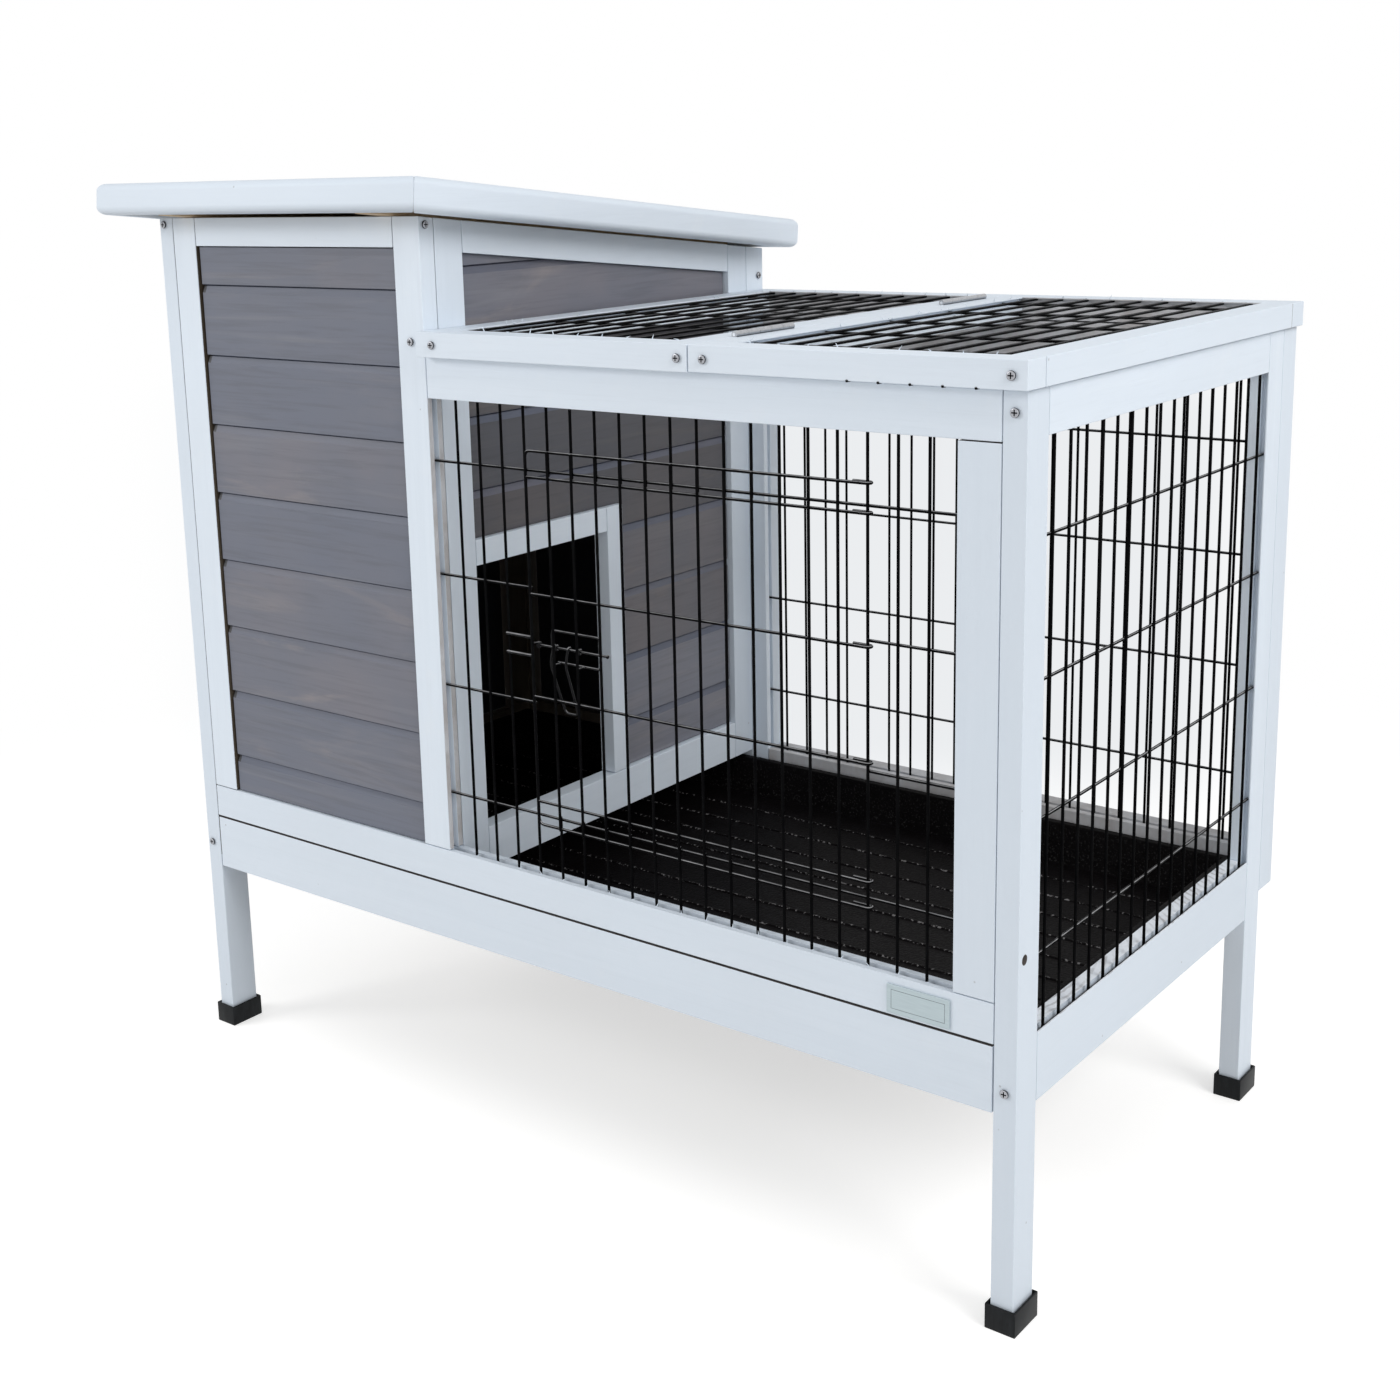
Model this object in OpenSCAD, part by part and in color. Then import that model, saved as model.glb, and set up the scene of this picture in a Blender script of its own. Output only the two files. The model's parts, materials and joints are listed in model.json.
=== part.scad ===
// Raised timber rabbit hutch: a boarded sleeping house with a hinged sloping
// roof beside a wire-fronted run with a hinged wire top, a latched wire door
// in the front and a full-length pull-out tray.
// Millimetres. +X runs along the front, +Y to the back, +Z up. The origin is
// on the floor below the middle of the whole outline.

/* [Overall] */
// Outer width across the two front posts
width = 900; // [820:5:980]
// Outer depth across the front and rear posts
depth = 472; // [400:2:540]
// Height of the run posts
run_h = 700; // [640:5:780]
// Width of the sleeping house, outer face to run side
house_w = 343; // [310:1:380]
// Rise of the house front above the run posts, to the underside of the roof
house_rise = 117; // [104:1:150]
// Slope of the roof, falling to the rear
roof_slope = 6; // [3:0.1:8]

/* [Timber] */
// Post thickness, along the front
post_x = 19; // [16:0.5:26]
// Post width, front to back
post_y = 32; // [28:1:45]
// Thickness of rails, stiles and the divider frame
frame_t = 18; // [15:0.5:22]
// Width of the front stiles
stile_w = 32; // [26:1:40]
// Width of the divider stiles
div_stile_w = 34; // [28:1:42]
// Height of the sloped rails under the roof
eave_rail_h = 28; // [20:1:34]
// Depth of the frames fixed behind the rear posts
back_t = 30; // [18:1:36]
// Height of the front bottom rail
front_rail_h = 32; // [26:1:40]
// Height of the front top rail of the run
run_rail_h = 36; // [28:1:44]
// Height of the side bottom rails
side_rail_h = 55; // [44:1:66]

/* [Boards] */
// Pitch of the shiplap boards
board_pitch = 65.5; // [52:0.5:80]
// Board thickness
board_t = 8; // [6:0.5:10]
// Drop from the roof's underside to the first groove of the front boards
front_drop = 62.6; // [45:0.2:78]
// Drop to the first groove of the side and divider boards
side_drop = 45.5; // [36:0.5:60]
// How far the boards lie behind the face of their frame
board_set = 3; // [2:0.2:9.6]

/* [Roof] */
// Thickness of the rounded roof edging
roof_t = 29; // [24:1:36]
// Width of the edging boards
edge_w = 18; // [14:1:24]
// Overhang of the roof at the front
roof_front = 43; // [34:1:54]
// Overhang at each side
roof_side = 38; // [34:1:44]
// Overhang behind the back frame
roof_rear = 8; // [7:1:20]
// Rounding of the edging's outer corners
edge_r = 7; // [4:0.5:10]

/* [Wire] */
// Wire thickness of the panels and the door
wire_d = 2.5; // [2:0.1:3]
// Close pitch of the wires
pitch_a = 25.2; // [22:0.1:27]
// Wide pitch of the cross wires
pitch_b = 99.6; // [90:0.2:106]

/* [Run top] */
// Thickness of the top frames
top_t = 22; // [18:0.5:28]
// Width of their rails
top_rail = 27; // [22:1:36]
// Where the lid seam lies, from the run's left end
seam_at = 284; // [262:1:306]
// Overhang of the top frames at the front
top_front = 11; // [6:1:14]
// Overhang at the right-hand end
top_side = 5; // [2:0.5:8]

/* [Tray] */
// Height of the underside of the wooden tray front
tray_z = 173; // [165:1:180]
// Height of the wooden tray front
tray_h = 51; // [46:0.5:52]
// Wall thickness of the plastic tray
tray_wall = 2.5; // [2:0.25:4]

/* [Feet] */
// Height of the plastic foot caps
cap_h = 20.4; // [16:0.4:26]
// Floor thickness of the caps
cap_floor = 3; // [2:0.5:4]

/* [Hidden] */
$fn = 48;

gap = 0.3;
white_paint = [0.86, 0.89, 0.92];
grey_stain = [0.36, 0.36, 0.39];
black_wire = [0.05, 0.05, 0.06];
black_plastic = [0.06, 0.06, 0.07];
zinc = [0.72, 0.73, 0.75];
felt_grey = [0.30, 0.31, 0.33];
bare_wood = [0.72, 0.60, 0.45];

back_y = depth + back_t;
roof_h = run_h + house_rise;
reach = width + depth + roof_h;
run_x0 = house_w;
div_x0 = house_w - frame_t;
side_z = tray_z + 2;
rail_z = tray_z + tray_h + 3;
rail_top = rail_z + front_rail_h;
back_rail_top = rail_z + 5;
back_foot = tray_z + 19;
div_rail_top = rail_top + 7;
top_z = run_h + top_t;
top_y1 = back_y;
seam_x = run_x0 + seam_at;
bb_x0 = -roof_side;
bb_x1 = width + top_side;
bb_y0 = -roof_front + edge_r * (cos(roof_slope) + sin(roof_slope) - 1);
bb_y1 = back_y + roof_rear + edge_r * (1 - cos(roof_slope)) + (roof_t - edge_r) * sin(roof_slope);
mid_x = (bb_x0 + bb_x1) / 2;
mid_y = (bb_y0 + bb_y1) / 2;

// Height of the roof's underside at a distance y behind the front face
function under(y) = roof_h - y * tan(roof_slope);

// Moves the hutch so that its outline is centred on the origin
module place() translate([-mid_x, -mid_y, 0]) children();

module box(x0, x1, y0, y1, z0, z1) translate([x0, y0, z0]) cube([x1 - x0, y1 - y0, z1 - z0]);

// All the space above a line parallel to the roof, a given distance below it
module above(drop) translate([-reach / 2, 0, roof_h - drop]) rotate([-roof_slope, 0, 0])
  translate([0, -reach / 2, 0]) cube([2 * reach, 2 * reach, reach / 2]);

// Puts a child drawn level, with its front lower edge on the roof line, on the slope
module on_slope() translate([0, 0, roof_h]) rotate([-roof_slope, 0, 0]) children();

// ---- screws: pan heads with a cross drive, each in its own drilled hole ----
screw_r = 1.5;
screw_len = 14;
head_r = 3.5;
head_h = 1.7;
// Head towards -Y, at the origin on the face
module screw() difference() {
  union() {
    rotate([90, 0, 0]) cylinder(r = head_r, h = head_h);
    rotate([-90, 0, 0]) cylinder(r = screw_r, h = screw_len);
  }
  for (a = [0, 90]) rotate([0, a, 0]) translate([-2, -head_h - 1, -0.45]) cube([4, 2, 0.9]);
}
module drill() translate([0, -1, 0]) rotate([-90, 0, 0]) cylinder(r = screw_r + 0.05, h = screw_len + 1.5);

side_scr_y = frame_t * 0.4;
s_post_top = [post_x * 0.37, roof_h - 7];
s_post_low = [post_x * 0.4, side_z + 22];
s_stile_top = roof_h - 8;
s_stile_mid = [house_w - stile_w / 2, run_h + 11.5];
s_right_top = [width - post_x / 2, run_h - 15];
s_right_low = [width - post_x / 2, side_z + 17];
top_scr_z = run_h + top_t * 0.5;
s_back_z = under(back_y) - 28;

// ---- posts, feet and rails ----
module post(x, y) box(x, x + post_x, y, y + post_y, cap_floor, roof_h + 60);

module post_front_left() color(white_paint) place() difference() {
  post(0, 0);
  above(gap);
  translate([s_post_top[0], 0, s_post_top[1]]) drill();
  translate([s_post_low[0], 0, s_post_low[1]]) drill();
}
module post_rear_left() color(white_paint) place() difference() {
  post(0, depth - post_y);
  above(gap);
}
module post_front_right() color(white_paint) place() difference() {
  box(width - post_x, width, 0, post_y, cap_floor, run_h);
  side_groove();
  translate([s_right_top[0], 0, s_right_top[1]]) drill();
  translate([s_right_low[0], 0, s_right_low[1]]) drill();
  translate([width + 0.01, post_y * 0.3, rail_top + 35]) rotate([0, -90, 0]) {
    cylinder(r1 = 4, r2 = 2, h = 3);
    cylinder(r = 2, h = 12);
  }
}
module post_rear_right() color(white_paint) place() difference() {
  box(width - post_x, width, depth - post_y, depth, cap_floor, run_h);
  side_groove();
}

cap_mx = 3;
cap_my = 2.5;
module foot_cap(x, y) difference() {
  box(x - cap_mx, x + post_x + cap_mx, y - cap_my, y + post_y + cap_my, 0, cap_h);
  box(x - gap, x + post_x + gap, y - gap, y + post_y + gap, cap_floor, cap_h + 1);
}
module foot_caps() color(black_plastic) place() {
  for (x = [0, width - post_x]) for (y = [0, depth - post_y]) foot_cap(x, y);
}

module bottom_rail_front() color(white_paint) place() difference() {
  box(post_x, width - post_x, 0, frame_t, rail_z, rail_top);
  front_groove();
}

plate_w = 53;
plate_h = 23;
plate_x = width - post_x - 35;
module blank_plate() color(black_plastic) place() difference() {
  box(plate_x - plate_w, plate_x, -1.2, 0, rail_z + 2.5, rail_z + 2.5 + plate_h);
  difference() {
    box(plate_x - plate_w + 2, plate_x - 2, -2, -0.9, rail_z + 4.5, rail_z + plate_h + 0.5);
    box(plate_x - plate_w + 3, plate_x - 3, -3, 0, rail_z + 5.5, rail_z + plate_h - 0.5);
  }
}

module side_rail(x) box(x, x + post_x, post_y, depth - post_y, side_z, side_z + side_rail_h);
module side_rail_left_bottom() color(white_paint) place() side_rail(0);
module side_rail_right_bottom() color(white_paint) place() difference() {
  side_rail(width - post_x);
  side_groove();
}
module side_rail_left_top() color(white_paint) place() difference() {
  box(0, post_x, post_y, depth - post_y, under(depth) - eave_rail_h - 10, roof_h + 60);
  above(gap);
  below_eave();
}
module side_rail_right_top() color(white_paint) place() difference() {
  box(width - post_x, width, post_y, depth - post_y, run_h - run_rail_h + 2, run_h);
  side_groove();
}
// Everything lower than the sloped rails under the roof
module below_eave() difference() {
  box(-reach / 4, width, -reach / 4, back_y + reach / 4, 0, roof_h + reach / 8);
  above(eave_rail_h);
}

// ---- house front ----
module house_front_stile_left() color(white_paint) place() difference() {
  box(post_x, post_x + stile_w, 0, frame_t, rail_top, roof_h + 20);
  above(gap);
}
module house_front_stile_right() color(white_paint) place() difference() {
  box(house_w - stile_w, house_w, 0, frame_t, rail_top, roof_h + 20);
  above(gap);
  box(house_w - groove_d, house_w + 1, groove_y0, groove_y1, rail_top - 1, run_h);
  translate([s_stile_mid[0], 0, s_stile_mid[1]]) drill();
  translate([house_w, side_scr_y, s_stile_top]) rotate([0, 0, 90]) drill();
}
front_x0 = post_x + stile_w;
front_x1 = house_w - stile_w;
front_top = roof_h - eave_rail_h + 1;
module house_front_top_rail() color(white_paint) place() difference() {
  box(front_x0, front_x1, 0, frame_t, front_top, roof_h + 20);
  above(gap);
}

// One shiplap board, length along X, outer face at y = 0, with its shadow groove below
// and its rear half reaching a hair into the board above
module shiplap(len, h, lap) rotate([90, 0, 90]) linear_extrude(len)
  polygon([[3, 0], [board_t, 0], [board_t, h + lap], [3, h + lap], [3, h], [0, h], [0, 3], [3, 3]]);
// A wall of boards from z0 to z1 whose grooves lie at whole pitches below zg
module board_wall(len, z0, z1, zg) {
  n = ceil((z1 - z0) / board_pitch) + 1;
  for (i = [-1 : n]) {
    a = max(z0, zg - i * board_pitch);
    b = min(z1, zg - (i - 1) * board_pitch);
    if (b - a > 3.5) translate([0, 0, a]) shiplap(len, b - a, min(0.05, max(0, z1 - b)));
  }
}
module house_front_boards() color(grey_stain) place()
  translate([front_x0, board_set, 0])
    board_wall(front_x1 - front_x0, rail_top, front_top, roof_h - front_drop);
module house_left_boards() color(grey_stain) place() difference() {
  translate([board_set, depth - post_y, 0]) rotate([0, 0, -90])
    board_wall(depth - 2 * post_y, side_z + side_rail_h, roof_h, roof_h - side_drop);
  above(eave_rail_h);
}

// ---- divider between the house and the run ----
div_y0 = frame_t + div_stile_w;
div_y1 = depth - post_y;
door_y1 = 235;
jamb_w = 24;
door_h = 243;
header_h = 24;
door_z = div_rail_top + door_h;
jamb_y = min(div_y1 - jamb_w - 20, door_y1);
div_set = 6;
module divider_stile_front() color(white_paint) place() difference() {
  box(div_x0, house_w, frame_t, div_y0, rail_z, roof_h + 20);
  above(gap);
}
module divider_stile_rear() color(white_paint) place() difference() {
  box(div_x0, house_w, div_y1, depth, rail_z, roof_h + 20);
  above(gap);
}
module divider_top_rail() color(white_paint) place() difference() {
  box(div_x0, house_w, div_y0, div_y1, under(depth) - eave_rail_h - 10, roof_h + 60);
  above(gap);
  below_eave();
}
module divider_bottom_rail() color(white_paint) place()
  box(div_x0, house_w, div_y0, div_y1, rail_z, div_rail_top);
module doorway_header() color(white_paint) place()
  box(div_x0, house_w, div_y0, jamb_y, door_z, door_z + header_h);
module doorway_jamb() color(white_paint) place()
  box(div_x0, house_w, jamb_y, jamb_y + jamb_w, div_rail_top, door_z + header_h);
module divider_boards() color(grey_stain) place() difference() {
  translate([house_w - div_set, div_y0, 0]) rotate([0, 0, 90])
    board_wall(div_y1 - div_y0, div_rail_top, roof_h, roof_h - side_drop);
  above(eave_rail_h);
  box(div_x0 - 1, house_w + 1, div_y0 - 1, jamb_y + jamb_w, div_rail_top - 1, door_z + header_h);
}

// ---- run front ----
run_top0 = run_h - run_rail_h;
run_x1 = width - post_x - stile_w - 2;
module run_front_top_rail() color(white_paint) place() difference() {
  box(run_x0, width - post_x, 0, frame_t, run_top0, run_h);
  front_groove();
}
module run_front_stile() color(white_paint) place() difference() {
  box(run_x1, width - post_x, 0, frame_t, rail_top, run_top0);
  front_groove();
}

// Grooves that hold the wire panels
groove_d = 6;
front_wy = 8;
groove_y0 = front_wy - wire_d / 2 - 1.2;
groove_y1 = front_wy + wire_d * 1.5 + 0.2;
front_m0 = run_x0 - groove_d;
front_m1 = run_x1 + groove_d;
front_mz0 = rail_top - groove_d;
front_mz1 = run_top0 + groove_d;
module front_groove() box(front_m0, front_m1, groove_y0, groove_y1, front_mz0, front_mz1);
side_wx = width - 3;
side_my0 = post_y - groove_d;
side_my1 = depth - post_y + groove_d;
side_mz0 = side_z + side_rail_h - groove_d;
side_mz1 = run_h - run_rail_h + 2 + groove_d;
side_gx0 = side_wx - wire_d * 1.5 - 0.2;
side_gx1 = side_wx + wire_d / 2 + 0.4;
module side_groove() box(side_gx0, side_gx1, side_my0, side_my1, side_mz0, side_mz1);

// Eight-sided wires, drawn with a flat face to each side
wire_r = wire_d / 2 / cos(22.5);
module wire_z(x, y, z0, z1) translate([x, y, z0]) rotate([0, 0, 22.5])
  cylinder(r = wire_r, h = z1 - z0, $fn = 8);
module wire_x(x0, x1, y, z) translate([x0, y, z]) rotate([0, 90, 0]) rotate([0, 0, 22.5])
  cylinder(r = wire_r, h = x1 - x0, $fn = 8);
module wire_y(y0, y1, x, z) translate([x, y0, z]) rotate([-90, 0, 0]) rotate([0, 0, 22.5])
  cylinder(r = wire_r, h = y1 - y0, $fn = 8);
lay = wire_d * 0.8;

wx0 = run_x0 + 25.4;
n_front = floor((run_x1 - 3 - wx0) / pitch_a);
hinge_n = n_front - 2;
latch_n = 3;
function wx(i) = wx0 + i * pitch_a;
hz1 = rail_top + 52;
function hz(i) = hz1 + i * pitch_b;
n_rows = floor((run_top0 - 40 - hz1) / pitch_b);
module run_front_mesh() color(black_wire) place() {
  translate([wx(hinge_n), front_wy, front_mz0]) cylinder(r = wire_d / 2, h = front_mz1 - front_mz0, $fn = 24);
  for (i = [0 : n_front]) {
    if (i <= latch_n || i > hinge_n) wire_z(wx(i), front_wy, front_mz0, front_mz1);
    if (i > latch_n && i < hinge_n) {
      wire_z(wx(i), front_wy, front_mz0, hz(0) + wire_d / 2);
      wire_z(wx(i), front_wy, hz(n_rows) - wire_d / 2, front_mz1);
    }
  }
  for (i = [0 : n_rows]) {
    if (i == 0 || i == n_rows) wire_x(front_m0, front_m1, front_wy + lay, hz(i));
    if (i > 0 && i < n_rows) {
      wire_x(front_m0, wx(latch_n) + 1, front_wy + lay, hz(i));
      wire_x(wx(hinge_n) - 1, front_m1, front_wy + lay, hz(i));
    }
  }
  wire_x(front_m0, front_m1, front_wy + lay, front_mz0 + wire_d / 2);
  wire_x(front_m0, front_m1, front_wy + lay, front_mz1 - wire_d / 2);
}
side_n = floor((depth - 2 * post_y - 8) / (pitch_a + 0.2));
side_y0 = depth / 2 - side_n * (pitch_a + 0.2) / 2;
side_hz0 = side_mz0 + 63;
side_rows = floor((side_mz1 - 40 - side_hz0) / (pitch_b + 3.4));
module run_side_mesh() color(black_wire) place() {
  for (i = [0 : side_n]) wire_z(side_wx, side_y0 + i * (pitch_a + 0.2), side_mz0, side_mz1);
  for (i = [0 : side_rows]) wire_y(side_my0, side_my1, side_wx - lay, side_hz0 + i * (pitch_b + 3.4));
  wire_y(side_my0, side_my1, side_wx - lay, side_mz0 + wire_d / 2);
  wire_y(side_my0, side_my1, side_wx - lay, side_mz1 - wire_d / 2);
}

// ---- frames behind the rear posts ----
hb_top = under(back_y) - eave_rail_h - 6;
module back_wedge() above(gap);
module house_back_stiles() color(white_paint) place() difference() {
  union() {
    box(0, post_x, depth, back_y, back_foot, roof_h);
    box(house_w - post_x, house_w, depth, back_y, back_foot, roof_h);
  }
  back_wedge();
  translate([house_w, depth + back_t * 0.7, s_back_z]) rotate([0, 0, 90]) drill();
}
module house_back_rails() color(white_paint) place() difference() {
  union() {
    box(post_x, house_w - post_x, depth, back_y, back_foot, back_rail_top);
    box(post_x, house_w - post_x, depth, back_y, hb_top, roof_h);
  }
  back_wedge();
}
module house_back_boards() color(grey_stain) place()
  translate([house_w - post_x, back_y - board_set, 0]) rotate([0, 0, 180])
    board_wall(house_w - 2 * post_x, back_rail_top, hb_top, roof_h - side_drop);
rb_top0 = run_h - run_rail_h;
back_wy = depth + 8;
back_gy0 = back_wy - wire_d / 2 - 0.2;
back_gy1 = back_wy + wire_d * 1.5 + 0.2;
back_mx0 = house_w + post_x - groove_d;
back_mx1 = width - post_x + groove_d;
back_mz0 = back_rail_top - groove_d;
back_mz1 = rb_top0 + groove_d;
module back_groove() box(back_mx0, back_mx1, back_gy0, back_gy1, back_mz0, back_mz1);
module run_back_stiles() color(white_paint) place() difference() {
  union() {
    box(house_w, house_w + post_x, depth, back_y, back_foot, run_h);
    box(width - post_x, width, depth, back_y, back_foot, run_h);
  }
  back_groove();
}
module run_back_rails() color(white_paint) place() difference() {
  union() {
    box(house_w + post_x, width - post_x, depth, back_y, back_foot, back_rail_top);
    box(house_w + post_x, width - post_x, depth, back_y, rb_top0, run_h);
  }
  back_groove();
}
back_n = floor((back_mx1 - back_mx0 - 30) / pitch_a);
back_x0 = (back_mx0 + back_mx1) / 2 - back_n * pitch_a / 2;
back_hz0 = back_rail_top + 64;
back_rows = floor((back_mz1 - 40 - back_hz0) / (pitch_b + 1.8));
module run_back_mesh() color(black_wire) place() {
  for (i = [0 : back_n]) wire_z(back_x0 + i * pitch_a, back_wy, back_mz0, back_mz1);
  for (i = [0 : back_rows]) wire_x(back_mx0, back_mx1, back_wy + lay, back_hz0 + i * (pitch_b + 1.8));
  wire_x(back_mx0, back_mx1, back_wy + lay, back_mz0 + wire_d / 2);
  wire_x(back_mx0, back_mx1, back_wy + lay, back_mz1 - wire_d / 2);
}

// ---- run top: a fixed frame on the left and a hinged lid on the right ----
ty0 = -top_front;
top_set = 2.6;
top_wz = top_z - top_set;
top_gz0 = top_wz - wire_d * 1.5 - 0.2;
top_gz1 = top_wz + wire_d / 2 + 0.2;
hinge_z = top_z + 1.5;
knuckle_r = 2.6;
pin_r = 1.3;
leaf_t = 1;
leaf_h = 17;
seam = 0.15;
lid_hinge_len = 80;
lid_hinge_front = 90;
lid_hinge_rear = 92;
lid_hinge_y = [lid_hinge_front, top_y1 - lid_hinge_rear];
// Hinge mortise and knuckle notch cut in the rails at the seam
module seam_cut() for (y = lid_hinge_y) {
  box(seam_x - seam - leaf_t, seam_x + seam + leaf_t, y - lid_hinge_len / 2 - gap,
    y + lid_hinge_len / 2 + gap, hinge_z - leaf_h - gap, top_z + 5);
  translate([seam_x, y - lid_hinge_len / 2 - gap, hinge_z]) rotate([-90, 0, 0])
    cylinder(r = knuckle_r + 0.4, h = lid_hinge_len + 2 * gap);
}
module ring_rails(x0, x1, z0) difference() {
  union() {
    box(x0, x1, ty0, ty0 + top_rail, z0, top_z);
    box(x0, x1, top_y1 - top_rail, top_y1, z0, top_z);
    box(x0, x0 + top_rail, ty0 + top_rail + 0.02, top_y1 - top_rail - 0.02, z0, top_z);
    box(x1 - top_rail, x1, ty0 + top_rail + 0.02, top_y1 - top_rail - 0.02, z0, top_z);
  }
  box(x0 + top_rail - groove_d, x1 - top_rail + groove_d, ty0 + top_rail - groove_d,
    top_y1 - top_rail + groove_d, top_gz0, top_gz1);
  seam_cut();
}
fix_x0 = run_x0;
fix_x1 = seam_x - seam;
lid_x0 = seam_x + seam;
lid_x1 = width + top_side;
lid_z0 = run_h + 0.6;
scr_in = 19;
module top_fixed_rails() color(white_paint) place() difference() {
  ring_rails(fix_x0, fix_x1, run_h);
  translate([fix_x0 + scr_in, ty0, top_scr_z]) drill();
  translate([fix_x1 - scr_in / 2, ty0, top_scr_z]) drill();
}
module lid_rails() color(white_paint) place() difference() {
  ring_rails(lid_x0, lid_x1, lid_z0);
  translate([lid_x0 + scr_in * 0.75, ty0, top_scr_z]) drill();
  translate([lid_x1 - scr_in * 0.63, ty0, top_scr_z]) drill();
}
module top_mesh(x0, x1) {
  a = x0 + top_rail - groove_d;
  b = x1 - top_rail + groove_d;
  c = ty0 + top_rail - groove_d;
  d = top_y1 - top_rail + groove_d;
  nx = floor((b - a - 12) / pitch_a);
  sx = (a + b) / 2 - nx * pitch_a / 2;
  ny = floor((d - c - 30) / pitch_b);
  sy = (c + d) / 2 - ny * pitch_b / 2;
  for (i = [0 : nx]) wire_y(c, d, sx + i * pitch_a, top_wz);
  for (i = [0 : ny]) wire_x(a, b, sy + i * pitch_b, top_wz - lay);
}
module top_fixed_mesh() color(black_wire) place() top_mesh(fix_x0, fix_x1);
module lid_mesh() color(black_wire) place() top_mesh(lid_x0, lid_x1);

// Butt hinge along Y: leaf on one side of the seam and every other knuckle
segs = 5;
seg_len = lid_hinge_len / segs;
module lid_hinge_half(side) for (y = lid_hinge_y) translate([seam_x, y - lid_hinge_len / 2, hinge_z])
  difference() {
    union() {
      if (side < 0) box(-seam - leaf_t, -seam, 0, lid_hinge_len, -leaf_h, 0);
      if (side > 0) box(seam, seam + leaf_t, 0, lid_hinge_len, -leaf_h, 0);
      for (k = [0 : segs - 1]) if ((side < 0) == (k % 2 == 0))
        translate([0, k * seg_len + 0.15, 0]) rotate([-90, 0, 0]) cylinder(r = knuckle_r, h = seg_len - 0.3);
    }
    for (k = [0 : segs - 1]) if ((side < 0) != (k % 2 == 0))
      translate([0, k * seg_len - 0.15, 0]) rotate([-90, 0, 0])
        cylinder(r = knuckle_r + 0.3, h = seg_len + 0.3);
    translate([0, -1, 0]) rotate([-90, 0, 0]) cylinder(r = pin_r + 0.05, h = lid_hinge_len + 2);
  }
module lid_hinge_fixed() color(zinc) place() lid_hinge_half(-1);
module lid_hinge_moving() color(zinc) place() lid_hinge_half(1);

// ---- roof ----
roof_len = (back_y + roof_rear + roof_front) / cos(roof_slope);
roof_y0 = -roof_front / cos(roof_slope);
roof_y1 = roof_y0 + roof_len;
roof_x0 = -roof_side;
roof_x1 = house_w + roof_side;
felt_t = 2.5;
panel_t = 9;
batten_h = roof_t - felt_t - panel_t;
module roof_panel() color(bare_wood) place() on_slope()
  box(roof_x0 + edge_w, roof_x1 - edge_w, roof_y0 + edge_w, roof_y1 - edge_w, batten_h, batten_h + panel_t);
module roof_felt() color(felt_grey) place() on_slope()
  box(roof_x0 + edge_w, roof_x1 - edge_w, roof_y0 + edge_w, roof_y1 - edge_w, batten_h + panel_t, roof_t);
module roof_battens() color(bare_wood) place() on_slope() {
  for (x = [post_x + 12, div_x0 - 32])
    box(x, x + 20, roof_y0 + edge_w, leaf_y0 - 1, 0, batten_h);
}
module roof_edging() color(white_paint) place() on_slope() difference() {
  union() {
    translate([roof_x0, roof_y0, 0]) mitred(roof_x1 - roof_x0);
    translate([roof_x1, roof_y1, 0]) rotate([0, 0, 180]) mitred(roof_x1 - roof_x0);
    translate([roof_x0, roof_y1, 0]) rotate([0, 0, -90]) mitred(roof_len);
    translate([roof_x1, roof_y0, 0]) rotate([0, 0, 90]) mitred(roof_len);
  }
  for (x = roof_hinge_x)
    box(x - roof_hinge_len / 2 - gap, x + roof_hinge_len / 2 + gap, leaf_y0 - gap,
      roof_ax + knuckle_r, -1, leaf_t + 0.2);
}
// One rounded edging board along X, outer edge at y = 0, its ends cut at 45 degrees
// a hair short of its neighbours
module mitred(len) difference() {
  union() {
    box(0, len, edge_r, edge_w, 0, roof_t);
    box(0, len, 0, edge_w, edge_r, roof_t - edge_r);
    for (z = [edge_r, roof_t - edge_r])
      translate([0, edge_r, z]) rotate([0, 90, 0]) cylinder(r = edge_r, h = len);
  }
  translate([0.01, 0, -1]) rotate([0, 0, 45]) box(-edge_w * 3, edge_w * 3, 0, edge_w * 3, 0, roof_t + 2);
  translate([len - 0.01, 0, -1]) rotate([0, 0, -45])
    box(-edge_w * 3, edge_w * 3, 0, edge_w * 3, 0, roof_t + 2);
}

// Roof hinges along X, at the top of the rear face
roof_hinge_len = 60;
roof_hinge_x = [post_x + 45, house_w - post_x - 45];
roof_ax = back_y / cos(roof_slope) + 3.4;
roof_az = -knuckle_r - 0.4;
roof_leaf = 22;
back_leaf = 24;
leaf_y0 = roof_ax - roof_leaf;
rseg = roof_hinge_len / segs;
module knuckles_x(first) for (k = [0 : segs - 1]) if (first == (k % 2 == 0))
  translate([k * rseg + 0.15, 0, 0]) rotate([0, 90, 0]) cylinder(r = knuckle_r, h = rseg - 0.3);
module clear_x(first) {
  for (k = [0 : segs - 1]) if (first != (k % 2 == 0))
    translate([k * rseg - 0.15, 0, 0]) rotate([0, 90, 0]) cylinder(r = knuckle_r + 0.3, h = rseg + 0.3);
  translate([-1, 0, 0]) rotate([0, 90, 0]) cylinder(r = pin_r + 0.05, h = roof_hinge_len + 2);
}
module roof_hinge_moving() color(zinc) place() on_slope() for (x = roof_hinge_x)
  translate([x - roof_hinge_len / 2, roof_ax, roof_az]) difference() {
    union() {
      knuckles_x(false);
      box(0, roof_hinge_len, leaf_y0 - roof_ax, 0.6, -roof_az, -roof_az + leaf_t);
      for (k = [1, 3]) box(k * rseg + 0.15, (k + 1) * rseg - 0.15, -0.6, 0.6, 0, -roof_az + 0.5);
    }
    clear_x(false);
  }
roof_axle_y = roof_ax * cos(roof_slope) + roof_az * sin(roof_slope);
roof_axle_z = roof_h - roof_ax * sin(roof_slope) + roof_az * cos(roof_slope);
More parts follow.
